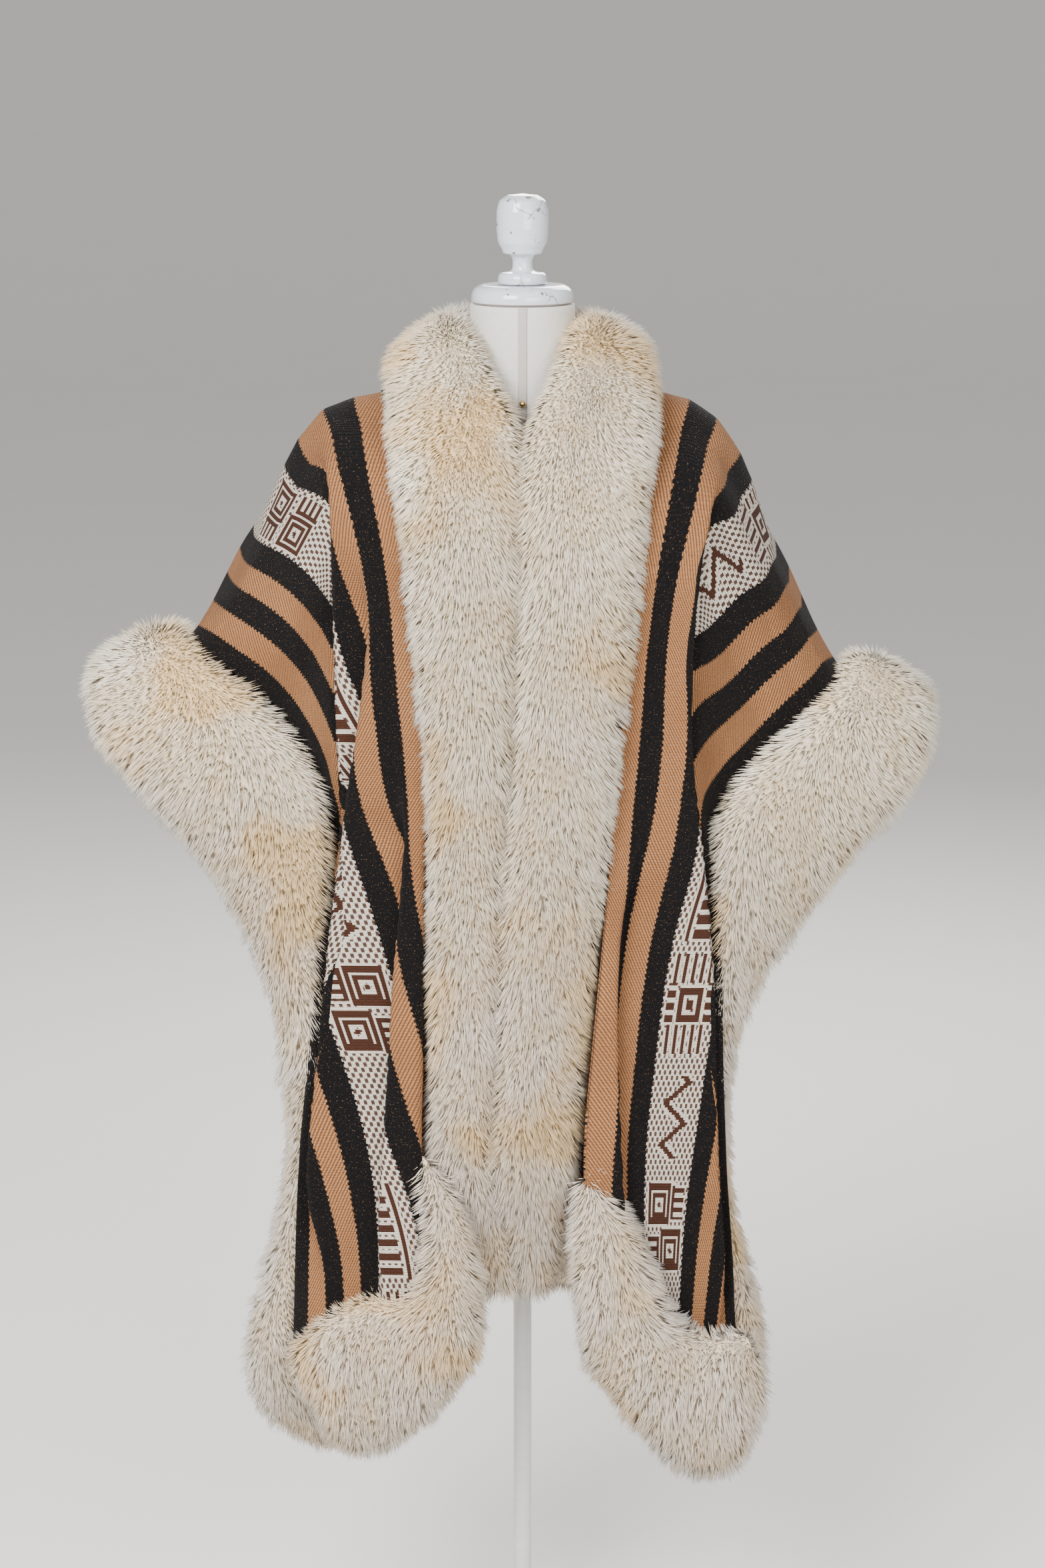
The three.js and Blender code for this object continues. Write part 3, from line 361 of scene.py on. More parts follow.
def depth_inside(tree, point, most_crossings=40):
    """How deep a point lies in a closed solid, or nothing outside it."""
    direction = Vector((0.31, 0.84, 0.44)).normalized()
    crossings, start = 0, Vector(point)
    while crossings < most_crossings:
        place = tree.ray_cast(start, direction)[0]
        if place is None:
            break
        crossings += 1
        start = place + direction * 1e-5
    return tree.find_nearest(point)[3] if crossings % 2 else 0.0


# ---- The draped cloth -----------------------------------------------------------------------------------
def section_line(row):
    """A front level as across, out, y and z at its knots. A fold with no tuck lies flat."""
    turned, front = row["turned"], row["front"]
    depth = min(1, turned / TURNED_FULL) * TURNED_LAYERS
    knots = []
    if turned > 0.5:
        bend = min(10, turned / 4)
        knots = [(0, front, 1.3 * depth, 0), (turned / 2, front + 0.4 * turned, 1.15 * depth, 0),
                 (turned - bend, front + bend / 2, depth, 0)]
    knots.append((turned, front, 0, 0))
    layer = 0
    for out, across, tuck, drop in [row[name] for name in FOLDS if name in row]:
        rise = min(LAYER, 0.4 * tuck) / LAYER
        reach = max(0, min(0.45 * tuck, out - front - EDGE_ROOM))
        knots += [(across, out, layer, drop), (across + tuck / 2, out - reach, layer + rise, drop),
                  (across + tuck, out, layer + 2 * rise, drop)]
        layer += 2 * rise
    line = [(across, out, row["y"] + layer * LAYER, row["z"] - drop) for across, out, layer, drop in knots]
    return line + [(CLOTH_EDGE, *row["end"])]


def full_rows(side):
    """The front's rows with all three folds. One that a row lacks is there with no tuck, on the cloth."""
    folds = [source[-1] for source in FRONT[side]]
    rows = [{"z": z, "y": y, "front": front, "turned": turned, "end": end,
             **{name: (*fold, 0)[:4] for name, fold in own.items()}}
            for z, y, front, turned, end, own in FRONT[side]]
    for place, name in enumerate(FOLDS):
        owners = [index for index, own in enumerate(folds) if name in own]
        for index, row in enumerate(rows):
            if not owners or index in owners:
                continue
            nearest = min(owners, key=lambda owner: abs(owner - index))
            before = [row[f][1] + row[f][2] for f in FOLDS[:place] if f in row]
            after = [row[f][1] for f in FOLDS[place + 1:] if f in row]
            across = max(folds[nearest][name][1], max(before, default=row["turned"]) + FOLD_ROOM)
            across = min(across, min(after, default=CLOTH_EDGE) - FOLD_ROOM)
            line = np.array(section_line(row))
            row[name] = (float(np.interp(across, line[:, 0], line[:, 1])), across, 0, 0)
    return rows


def fine_levels(side, steps):
    """Front levels between the rows, from the hem up to the topmost row."""
    rows = full_rows(side)
    keys = ("z", "y", "front", "turned")
    names = [name for name in FOLDS if name in rows[0]]
    table = np.array([[*[row[key] for key in keys], *row["end"],
                       *[number for name in names for number in row[name]]] for row in rows])
    at = np.linspace(0, len(rows) - 1, (len(rows) - 1) * steps + 1)
    fine = np.stack([np.interp(at, range(len(rows)), column) for column in table.T], axis=1)
    levels = []
    for numbers in blurred(fine, LEVEL_SOFTNESS * steps)[::-1]:
        row = dict(zip(keys, numbers), end=tuple(numbers[4:7]))
        row["turned"] = max(0, row["turned"])
        least = row["turned"] + 1
        for name, (out, across, tuck, drop) in zip(names, numbers[7:].reshape(-1, 4)):
            tuck = max(0, tuck)
            across = min(max(across, least), CLOTH_EDGE - tuck - 1)
            row[name] = (out, across, tuck, drop)
            least = across + tuck + 1
        levels.append(row)
    return levels


def ridge_line(side, across):
    keys, outs, heights = zip(*RIDGE[side])
    turn = np.clip(-across / UNDER_BORDER, 0, 1) * math.pi / 2
    under = across < 0
    return np.stack([
        np.where(under, outs[0] * np.cos(turn), np.interp(across, keys, outs)),
        np.where(under, NECKLINE_Y * np.sin(turn), 0),
        np.where(under, heights[0] + (NECKLINE_Z - heights[0]) * np.sin(turn),
                 np.interp(across, keys, heights)),
    ], axis=1)


def back_line(side, row, across):
    """A back level as part of an oval from the centre back to the side edge, with soft waves on it."""
    z, y, height, (end_out, end_y, end_z), (shift_out, shift_z) = row
    if side == "left":
        end_out, end_z = end_out + shift_out, end_z + shift_z
    share = (across + UNDER_BORDER) / (CLOTH_EDGE + UNDER_BORDER)
    limit = BACK_SWEEP * math.pi / 2
    turn = share * limit
    rise = (1 - np.cos(turn)) / (1 - math.cos(limit))
    wave = height * np.sin(share * BACK_WAVES * FULL_TURN) * np.sin(math.pi * share)
    return np.stack([end_out * np.sin(turn) / math.sin(limit) + wave * 0.4 * share,
                     y + (end_y - y) * rise + wave, z + (end_z - z) * share ** 2], axis=1)


def cloth_grid(side, column_step, row_steps):
    """Points of the cloth's middle, as a grid of columns over the cloth and stations along its stripes."""
    under = np.linspace(-UNDER_BORDER, 0, round(UNDER_BORDER / column_step) + 1)[:-1]
    front = np.linspace(0, CLOTH_EDGE, round(CLOTH_EDGE / column_step) + 1)
    across = np.concatenate([under, front])
    sections = []
    for level in fine_levels(side, row_steps):
        line = np.array(section_line(level))
        section = np.stack([np.interp(front, line[:, 0], line[:, axis]) for axis in (1, 2, 3)], axis=1)
        sections.append(blurred(section, FOLD_SOFTNESS / column_step))
    missing = np.full((len(sections), len(under), 3), np.nan)
    front_rows = np.concatenate([missing, sections], axis=1)
    ridge = ridge_line(side, across)
    back = [back_line(side, row, across) for row in BACK]
    # Over the shoulder the line is smooth through the last front levels, the ridge and the back's rows.
    turn_rows = np.concatenate([front_rows[-1 - row_steps::row_steps], ridge[None], back])
    turn_rows[:2, :len(under)] = ridge[:len(under)]
    smooth = catmull(turn_rows, row_steps)[row_steps:]
    smooth[:row_steps, :len(under)] = np.nan
    grid = np.swapaxes(np.concatenate([front_rows[:-1], smooth]), 0, 1) * MM
    grid[:, :, 0] *= SIDES[side]
    reach_under_collar(grid, across * MM, len(front_rows) - 1 + row_steps)
    return across * MM, grid


def reach_under_collar(grid, across, ridge):
    """Carries the cloth's near edge on over the form's shoulder, from the chest up to the ridge."""
    form = solid_tree("torso")
    first = int(np.argmax(across >= 0))

    def shoulder(x, y):
        spot = form.ray_cast(Vector((x, y, ABOVE_ALL)), Vector((0, 0, -1)))[0]
        return spot and spot.z

    for station in range(ridge):
        x, y, z = grid[first, station]
        under = shoulder(x, y)
        if y < COLLAR_FRONT * MM or under is None:
            continue
        above = z - under
        for column in range(first - 1, -1, -1):
            share = -across[column] / (COLLAR_REACH * MM)
            inner = x + across[column] * math.copysign(1, x)
            under = shoulder(inner, y)
            if share <= 1 and under is not None:
                grid[column, station] = (inner, y, under + max(COLLAR_CLEAR * MM, above * (1 - share)))


def cloth_normals(grid, side):
    """Outward directions at the grid's points."""
    columns = np.arange(len(grid))
    first = (~np.isnan(grid[:, :, 0])).argmax(axis=1)
    filled = grid.copy()
    for column, start in enumerate(first):
        filled[column, :start] = grid[column, start]
    along, over = np.gradient(filled, axis=1), np.gradient(filled, axis=0)
    along[columns, first] = filled[columns, first + 1] - filled[columns, first]
    return unit(np.cross(over, along) * SIDES[side])


def soft_wrinkles(grid, side, height):
    """Small hollows and swells of hanging cloth, laid along the stripes."""
    seed = 3.0 if side == "right" else 11.0
    normals = cloth_normals(grid, side)
    moved = grid.copy()
    for at in zip(*np.nonzero(~np.isnan(grid[:, :, 0]))):
        x, y, z = grid[at]
        place = Vector((x * 17, y * 9 + seed, z * 6))
        swell = noise.noise(place) + 0.35 * noise.noise(place * 3.1)
        moved[at] += normals[at] * swell * height
    return moved


def cloth_piece(side, settings):
    """One loom width as a closed thin wall, left open where the fur trims take over."""
    across, grid = cloth_grid(side, settings.column_step / MM, settings.row_steps)
    grid = soft_wrinkles(grid, side, settings.wrinkle_height)
    normals = cloth_normals(grid, side)
    trims = [solid_tree(f"{trim}_{side}") for trim in ("border", "front_hem", "side_trim", "back_hem")]
    known = ~np.isnan(grid[:, :, 0])
    hidden = np.zeros(known.shape, bool)
    for at in zip(*np.nonzero(known)):
        hidden[at] = any(depth_inside(tree, Vector(grid[at])) > settings.seam_depth for tree in trims)
    middle = int(np.argmin(abs(across - FIGURE_MIDDLE)))
    steps = np.linalg.norm(np.diff(grid[middle], axis=0), axis=1)
    along = np.concatenate([[0], np.cumsum(np.nan_to_num(steps))]) + FIGURE_SHIFT[side]
    columns, stations = known.shape
    cells = {(c, s) for c in range(columns - 1) for s in range(stations - 1)
             if known[c:c + 2, s:s + 2].all() and not hidden[c:c + 2, s:s + 2].all()}
    ids, points, places, faces = {}, [], [], []

    def corner(column, station, shift):
        key = (column, station, shift)
        if key not in ids:
            ids[key] = len(points)
            points.append(grid[column, station] + normals[column, station] * settings.thickness * shift)
            places.append((across[column], along[station]))
        return ids[key]

    def wall(*corners):
        faces.append(corners[::SIDES[side]])

    for c, s in cells:
        ring = [(c, s), (c + 1, s), (c + 1, s + 1), (c, s + 1)]
        outer, inner = ([corner(*at, shift) for at in ring] for shift in (0.5, -0.5))
        wall(*outer)
        wall(*inner[::-1])
        for edge, cell in enumerate([(c, s - 1), (c + 1, s), (c, s + 1), (c - 1, s)]):
            if cell not in cells:
                start, end = edge, (edge + 1) % 4
                wall(outer[end], outer[start], inner[start], inner[end])
    obj = mesh_object(f"woven_width_{side}", points, faces)
    spots = np.array(places, np.float32)[[loop.vertex_index for loop in obj.data.loops]]
    obj.data.uv_layers.new(name="weave").data.foreach_set("uv", spots.ravel())
    return obj


# ---- Fur trims ------------------------------------------------------------------------------------------
def placed(rows, side):
    """A strip's rows on one side, as its near point, its far point and its depth."""
    sign = SIDES[side]
    return [[(sign * x, y, z), (sign * far_x, far_y, far_z), thick]
            for x, y, z, far_x, far_y, far_z, thick in rows]


def border_rows(side):
    meeting = sorted(MEETING_LINE)
    edge = sorted((row[0], row[2]) for row in FRONT[side])
    rows = [(SIDES[side] * np.interp(z, *zip(*meeting)) + GAP / 2, y, z,
             np.interp(z, *zip(*edge)) + over, y + back, z, thick)
            for z, y, back, over, thick in BORDER_LEVELS]
    return placed([*rows, *BORDER_NECK, COLLAR[0]], side)


def collar_rows():
    return placed(COLLAR, "right") + placed(COLLAR[:-1], "left")[::-1]


def back_hem_rows(side):
    across = np.linspace(-UNDER_BORDER, BACK_HEM_END, BACK_HEM_STEPS + 1)
    return placed([(out, y, z + 8, out, y + 4, z + 8 - BACK_HEM_DROP, BACK_HEM_THICK)
                   for out, y, z in back_line(side, BACK[-1], across)], side)


def fur_skin(name, rows, inset, near_inset, comb, sides=26, steps=6):
    """The skin under the pile: a closed strip with a rounded section, set back from the pile's reach.

    comb is how much the pile lies over to the strip's edges and how much it hangs down.
    """
    near, far = (catmull([row[index] for row in rows], steps) for index in (0, 1))
    thick = catmull([[row[2]] for row in rows], steps)[:, 0]
    width = unit(far - near)
    near = near + width * near_inset
    far = far - width * inset
    middle = (near + far) / 2
    along = unit(np.gradient(middle, axis=0))
    half = np.maximum(((far - near) * width).sum(1) / 2, LEAST_HALF)
    depth = unit(np.cross(width, along))
    deep = np.maximum(thick / 2 - inset, LEAST_DEEP)
    turn = (np.arange(sides) + 0.5) / sides * FULL_TURN
    over, up = ((np.sign(f(turn)) * np.abs(f(turn)) ** ROUNDNESS)[:, None] for f in (np.cos, np.sin))
    # The ends close in a short dome.
    dome = ((1.0, 0.02), (0.8, 0.6), (0.4, 0.9))
    stack = [(0, grow, -reach) for reach, grow in dome]
    stack += [(index, 1.0, 0.0) for index in range(len(middle))]
    stack += [(len(middle) - 1, grow, reach) for reach, grow in dome[::-1]]
    rings, naps = [], []
    for i, grow, reach in stack:
        centre = middle[i] + along[i] * reach * deep[i] * 0.8
        rings.append(centre + grow * (half[i] * over * width[i] + deep[i] * up * depth[i]))
        naps.append(unit(over * width[i] / half[i] * deep[i] + up * depth[i] + along[i] * reach))
    points = np.concatenate(rings) * MM
    normals = np.concatenate(naps)
    faces = between_rings(len(stack), sides)
    faces += [tuple(range(sides))[::-1], tuple(range(len(points) - sides, len(points)))]
    # A face of the second ring tells whether they all face inward.
    a, b, _, d = faces[sides]
    if np.cross(points[b] - points[a], points[d] - points[a]) @ normals[a] < 0:
        faces = [face[::-1] for face in faces]
    obj = mesh_object(name, points, faces)
    widths = np.repeat([width[i] for i, _, _ in stack], sides, 0)
    lay = (widths * comb[0] * (0.15 + 0.85 * np.tile(over, (len(stack), 1)))
           + np.array(HANGING) * comb[1])
    lay -= normals * (lay * normals).sum(1, keepdims=True)
    outward = unit(points * [1, 1, 0])
    same = np.ones(len(points))
    keep_values(obj.data, lay=unit(lay), nap=normals, tip=0.3 * same, tone=0.4 * same, strand=0.5 * same,
                cover=np.clip(((normals * outward).sum(1) + 0.75) / 0.6, 0, 1) * 0.7 + 0.3,
                shaggy=np.clip((1.3 - points[:, 2]) / 0.6, 0, 1))
    return obj


def lock_of_fur():
    """One tapered lock of pile, a unit long: wide at its root, bowed, and closed."""
    points = ((0, -0.5, 0), (0, 0.5, 0), (0.035, 0, 0.42), (-0.03, 0, 1))
    obj = mesh_object("lock_of_fur", points, [(0, 1, 2), (1, 3, 2), (3, 0, 2), (0, 3, 1)])
    keep_values(obj.data, tip=(0, 0, 0.42, 1), strand=(0, 1, 0.5, 0.5))
    return obj


# ---- Node trees -----------------------------------------------------------------------------------------
class Value:
    """A node's output. Sums on it add Math nodes to its tree."""

    def __init__(self, graph, socket):
        self.graph = graph
        self.socket = socket


def overload(method, operation, reflected=None):
    """Gives Value a method that adds a Math node, and its reflected form."""
    def forward(self, *others):
        return self.graph.maths(operation, self, *others)

    def backward(self, other):
        return self.graph.maths(operation, other, self)

    setattr(Value, method, forward)
    if reflected:
        setattr(Value, reflected, backward)


for _overload in (("__add__", "ADD", "__radd__"), ("__sub__", "SUBTRACT", "__rsub__"),
                  ("__mul__", "MULTIPLY", "__rmul__"), ("__truediv__", "DIVIDE", "__rtruediv__"),
                  ("__mod__", "FLOORED_MODULO"), ("__lt__", "LESS_THAN"), ("__gt__", "GREATER_THAN"),
                  ("__abs__", "ABSOLUTE"), ("floor", "FLOOR"), ("sine", "SINE"), ("most", "MAXIMUM")):
    overload(*_overload)


class Graph:
    """A node tree under construction."""

    def __init__(self, tree):
        self.tree = tree

    def add(self, kind, settings=None, inputs=None, output=0):
        """A node of a type, with its settings and the values or links of its sockets, as one output."""
        node = self.tree.nodes.new(kind)
        for name, value in (settings or {}).items():
            setattr(node, name, value)
        for key, value in (inputs or {}).items():
            socket = self.find(node.inputs, key)
            if isinstance(value, Value):
                self.tree.links.new(value.socket, socket)
            else:
                socket.default_value = value
        return Value(self, self.find(node.outputs, output)) if node.outputs else node

    @staticmethod
    def find(sockets, key):
        named = [socket for socket in sockets if socket.identifier == key]
        return named[0] if named else sockets[key]

    def other(self, value, output):
        """Another output of the node that a value comes from."""
        return Value(self, self.find(value.socket.node.outputs, output))

    def maths(self, operation, *values):
        return self.add("ShaderNodeMath", {"operation": operation}, dict(enumerate(values)))

    def vector(self, operation, *values):
        return self.add("ShaderNodeVectorMath", {"operation": operation}, dict(enumerate(values)))

    def scaled(self, vector, factor):
        return self.add("ShaderNodeVectorMath", {"operation": "SCALE"}, {"Vector": vector, "Scale": factor})

    def part(self, vector, axis):
        return self.add("ShaderNodeSeparateXYZ", {}, {"Vector": vector}, axis)

    def joined(self, x, y, z):
        return self.add("ShaderNodeCombineXYZ", {}, {0: x, 1: y, 2: z})

    def blend(self, factor, first, second, mode="MIX"):
        """Two colours in one. A colour that isn't a link is given as its three channels."""
        first, second = (c if isinstance(c, Value) else (*c, 1.0) for c in (first, second))
        return self.add("ShaderNodeMix", {"data_type": "RGBA", "blend_type": mode},
                        {"Factor_Float": factor, "A_Color": first, "B_Color": second}, "Result_Color")

    def ramp(self, value, low, high):
        """0 below low, 1 above high and a soft slope between."""
        return self.add("ShaderNodeMapRange", {"interpolation_type": "SMOOTHSTEP"},
                        {"Value": value, "From Min": low, "From Max": high})

    def noise(self, place, scale, detail=2.0, output="Fac"):
        """Soft noise. A scale of three numbers stretches it."""
        if isinstance(scale, tuple):
            place, scale = self.vector("MULTIPLY", place, scale), 1.0
        return self.add("ShaderNodeTexNoise", {}, {"Vector": place, "Scale": scale, "Detail": detail}, output)

    def bump(self, height, distance, strength):
        sockets = {"Height": height, "Distance": distance, "Strength": strength}
        return self.add("ShaderNodeBump", {}, sockets, "Normal")


PILE_INPUTS = (
    ("Geometry", "Geometry", None), ("Lock", "Object", None), ("Finish", "Material", None),
    ("Density", "Float", 50000.0), ("Length", "Float", 0.03), ("Width", "Float", 0.003),
    ("Lift", "Float", 0.5), ("Tuft Size", "Float", 0.02), ("Tuft Pull", "Float", 0.5),
    ("Untidiness", "Float", 0.2), ("Seed", "Int", 1),
)


def pile_tree():
    """Geometry nodes that cover a skin in locks of fur, drawn together in tufts."""
    tree = bpy.data.node_groups.new("Pile of Fur", "GeometryNodeTree")
    for name, kind, value in PILE_INPUTS:
        socket = tree.interface.new_socket(name, in_out="INPUT", socket_type=f"NodeSocket{kind}")
        if value is not None:
            socket.default_value = value
    tree.interface.new_socket("Geometry", in_out="OUTPUT", socket_type="NodeSocketGeometry")
    g = Graph(tree)
    group = g.add("NodeGroupInput")
    skin, lock, fur, density, length, width, lift, tuft_size, tuft_pull, untidiness, seed = (
        g.other(group, name) for name, _, _ in PILE_INPUTS)

    def kept(name, kind="FLOAT"):
        return g.add("GeometryNodeInputNamedAttribute", {"data_type": kind}, {"Name": name}, "Attribute")

    def chance(low, high, own_seed):
        return g.add("FunctionNodeRandomValue", {"data_type": "FLOAT"},
                     {"Min_001": low, "Max_001": high, "Seed": own_seed}, "Value_001")

    def stray(scale, detail):
        """A soft random vector about nothing."""
        return g.vector("SUBTRACT", g.noise(place, scale, detail, "Color"), (0.5, 0.5, 0.5))

    def leaning(start, *pushes):
        for push in pushes:
            start = g.vector("ADD", start, push)
        return start

    points = g.add("GeometryNodeDistributePointsOnFaces", {"distribute_method": "RANDOM"},
                   {"Mesh": skin, "Density": density * kept("cover"), "Seed": seed}, "Points")
    normal = g.other(points, "Normal")
    place = g.add("GeometryNodeInputPosition")
    wandered = leaning(place, g.scaled(stray(14.0, 2.0), 0.012))
    cell = g.add("ShaderNodeTexVoronoi", {}, {"Vector": wandered, "Scale": 1.0 / tuft_size}, "Position")
    shaggy = kept("shaggy")
    pull = g.scaled(g.vector("SUBTRACT", cell, wandered), tuft_pull * (0.35 + 0.65 * shaggy) / length)
    jitter = g.add("FunctionNodeRandomValue", {"data_type": "FLOAT_VECTOR"},
                   {"Min": (-1.0, -1.0, -1.0), "Max": (1.0, 1.0, 1.0), "Seed": seed}, "Value")
    swirl = g.scaled(stray(7.0, 1.0), 0.9 + 0.7 * shaggy)
    heading = g.vector("NORMALIZE", leaning(kept("lay", "FLOAT_VECTOR"), g.scaled(normal, lift), swirl, pull,
                                            g.scaled(jitter, untidiness)))
    nap = g.vector("NORMALIZE", leaning(g.scaled(normal, 0.9), g.scaled(heading, 0.25)))
    aim = g.add("FunctionNodeAlignRotationToVector", {"axis": "Z"}, {"Vector": heading}, "Rotation")
    facing = leaning(normal, g.scaled(jitter, 0.25))
    aim = g.add("FunctionNodeAlignRotationToVector", {"axis": "X", "pivot_axis": "Z"},
                {"Rotation": aim, "Vector": facing}, "Rotation")
    tuft = g.part(g.other(cell, "Color"), "X")
    # The swell makes lumps of longer locks. It also goes into each lock's tone, and there it is painted
    # shade: the material darkens and warms the short locks in the hollows between the lumps. The rest of the
    # tone is the lock's own random tone and its tuft's.
    swell = g.ramp(g.noise(place, 19.0), 0.36, 0.64)
    tone = 0.3 * chance(0.0, 1.0, 7) + 0.2 * tuft + 0.5 * swell
    marked = points
    for name, kind, value in (("nap", "FLOAT_VECTOR", nap), ("tone", "FLOAT", tone)):
        marked = g.add("GeometryNodeStoreNamedAttribute", {"data_type": kind, "domain": "POINT"},
                       {"Geometry": marked, "Name": name, "Value": value}, "Geometry")
    long = length * chance(0.78, 1.08, 21) * (0.84 + 0.26 * swell + (0.24 * tuft - 0.12) * shaggy)
    shape = g.add("GeometryNodeObjectInfo", {}, {"Object": lock}, "Geometry")
    locks = g.add("GeometryNodeInstanceOnPoints", {}, {
        "Points": marked, "Instance": shape, "Rotation": aim, "Scale": g.joined(long, width, long),
    }, "Instances")
    real = g.add("GeometryNodeRealizeInstances", {}, {"Geometry": locks}, "Geometry")
    both = g.add("GeometryNodeJoinGeometry")
    for source in (real, skin):
        tree.links.new(source.socket, both.socket.node.inputs[0])
    done = g.add("GeometryNodeSetMaterial", {}, {"Geometry": both, "Material": fur}, "Geometry")
    g.add("NodeGroupOutput", {}, {0: done})
    return tree


def grow_pile(skin, lock, fur, settings, seed):
    """Covers a skin in pile and leaves one plain mesh in its place."""
    tree = bpy.data.node_groups.get("Pile of Fur") or pile_tree()
    cover = np.zeros(len(skin.data.vertices), np.float32)
    skin.data.attributes["cover"].data.foreach_get("value", cover)
    area = sum(p.area * np.mean([cover[i] for i in p.vertices]) for p in skin.data.polygons)
    inputs = {"Lock": lock, "Finish": fur, "Seed": seed,
              "Density": float(min(settings.density, settings.most_locks / area)),
              "Length": settings.pile_length, "Width": settings.lock_width, "Lift": settings.lift,
              "Tuft Size": settings.tuft_size, "Tuft Pull": settings.tuft_pull,
              "Untidiness": settings.untidiness}
    modifier = skin.modifiers.new("Pile", "NODES")
    modifier.node_group = tree
    for item in tree.interface.items_tree:
        if item.in_out == "INPUT" and item.name in inputs:
            modifier[item.identifier] = inputs[item.name]
    apply_modifier(skin, modifier)


# ---- Dress form and stand -------------------------------------------------------------------------------
def oval_loft(name, levels, shrink):
    """A smooth closed body through horizontal ovals, each drawn in by the same width."""
    return ring_stack(name, oval_rings(catmull(levels, 6) - [0, shrink, shrink, shrink], 72) * MM)


def turned_pieces(material, slot, *nodes):
    """Lathe-turned pieces from their profiles, with softened corners."""
    for node in nodes:
        name, spacing, soften, sides, bottom, profile = TURNED[node]
        profile = np.array(profile, float) + [0, bottom]
        lengths = np.concatenate([[0], np.cumsum(np.linalg.norm(np.diff(profile, axis=0), axis=1))])
        at = np.linspace(0, lengths[-1], max(8, round(lengths[-1] / spacing)))
        line = blurred(np.stack([np.interp(at, lengths, column) for column in profile.T], axis=1), soften)
        radius = np.maximum(line[:, 0], LEAST_RADIUS)
        rings = oval_rings(zip(line[:, 1], radius, radius, radius), sides)
        finished(ring_stack(name, rings * MM), material, slot, node)


def neck_front(z):
    fine = catmull(NECK, 6)
    return -np.interp(z, fine[:, 0], fine[:, 2])


def ribbon(name, width, thick, top, bottom, sides=12, levels=30):
    """A flat band down the front of the neck, a hair clear of the cover."""
    turn = np.arange(sides) / sides * FULL_TURN
    x = np.sign(np.cos(turn)) * np.abs(np.cos(turn)) ** 0.3 * width / 2
    y = np.sin(turn) * thick / 2
    rings = [np.stack([x, neck_front(z) - GAP - thick / 2 + y, np.full(sides, z)], axis=1)
             for z in np.linspace(bottom, top, levels)]
    return ring_stack(name, np.array(rings) * MM)


def ball(name, radius, centre, sides=24, levels=14):
    rise = np.linspace(-0.49, 0.49, levels) * math.pi
    round_rows = [(radius * math.sin(r), *[radius * math.cos(r)] * 3) for r in rise]
    return ring_stack(name, (oval_rings(round_rows, sides) + centre) * MM)


# ---- Finishes -------------------------------------------------------------------------------------------
def lit(red, green, blue):
    """A colour given as 0 to 255 in each channel, as Blender keeps it."""
    scaled = [channel / 255 for channel in (red, green, blue)]
    return tuple(c / 12.92 if c <= 0.04045 else ((c + 0.055) / 1.055) ** 2.4 for c in scaled)


WORN_GOLD = (0.16, 0.09, 0.03)


def finish(name, look, *values):
    """A material from a function that gives the sockets of its shader, as links or as plain numbers."""
    material = bpy.data.materials.new(name)
    material.use_nodes = True
    material.node_tree.nodes.clear()
    g = Graph(material.node_tree)
    sockets = look(g, g.add("ShaderNodeTexCoord", {}, {}, "Object"), *values)
    shader = g.add("ShaderNodeBsdfPrincipled", {}, sockets, "BSDF")
    g.add("ShaderNodeOutputMaterial", {}, {"Surface": shader})
    return material


def within(value, low, high):
    return (value > low) * (value < high)


def long_fur(g, place, settings):
    tip, tone, strand = (g.add("ShaderNodeAttribute", {"attribute_name": name}, {}, "Fac")
                         for name in ("tip", "tone", "strand"))
    nap = g.add("ShaderNodeAttribute", {"attribute_name": "nap"}, {}, "Vector")
    low = g.ramp(1.25 - g.part(place, "Z"), 0.0, 0.75)
    dull = g.ramp(g.noise(place, 4.5, 3.0) * 0.7 + low * 0.45, 0.3, 0.75)
    colour = g.blend(dull, settings.cream, settings.grey)
    warm = g.ramp(g.noise(g.vector("ADD", place, (2.3, 0.9, 1.4)), 6.5, 2.5), 0.47, 0.63)
    # Painted shade: locks of low tone, most of all those in the hollows between lumps, turn warmer. This
    # comes on top of the fur's own yellowish patches above.
    warm = warm.most(g.ramp(0.62 - tone, 0.0, 0.4) * 0.45)
    colour = g.blend(warm * 0.9, colour, settings.warm)
    hair = 0.5 + 0.5 * (strand * 31.0 + tone * 40.0).sine()
    # Each lock's brightness: partly its own random tone and the streaks of its hairs, partly painted shade
    # that darkens the locks in the hollows between the lumps.
    light = 0.87 + 0.12 * tone + 0.02 * hair
    colour = g.blend(g.ramp(tip, 0.0, 0.6), g.blend(1.0, colour, settings.root, "MULTIPLY"), colour)
    colour = g.blend(1.0, colour, g.joined(light, light, light), "MULTIPLY")
    true = g.add("ShaderNodeNewGeometry", {}, {}, "Normal")
    normal = g.vector("NORMALIZE", g.vector("ADD", g.scaled(nap, 0.88), g.scaled(true, 0.12)))
    return {"Base Color": colour, "Normal": normal, "Roughness": 0.78, "Sheen Weight": 0.45,
            "Sheen Roughness": 0.45, "Specular IOR Level": 0.25}


def bars(value, period, width):
    """1 in bars that follow each other over a value. The values lie above -0.1."""
    return (value + 0.1) % period < width


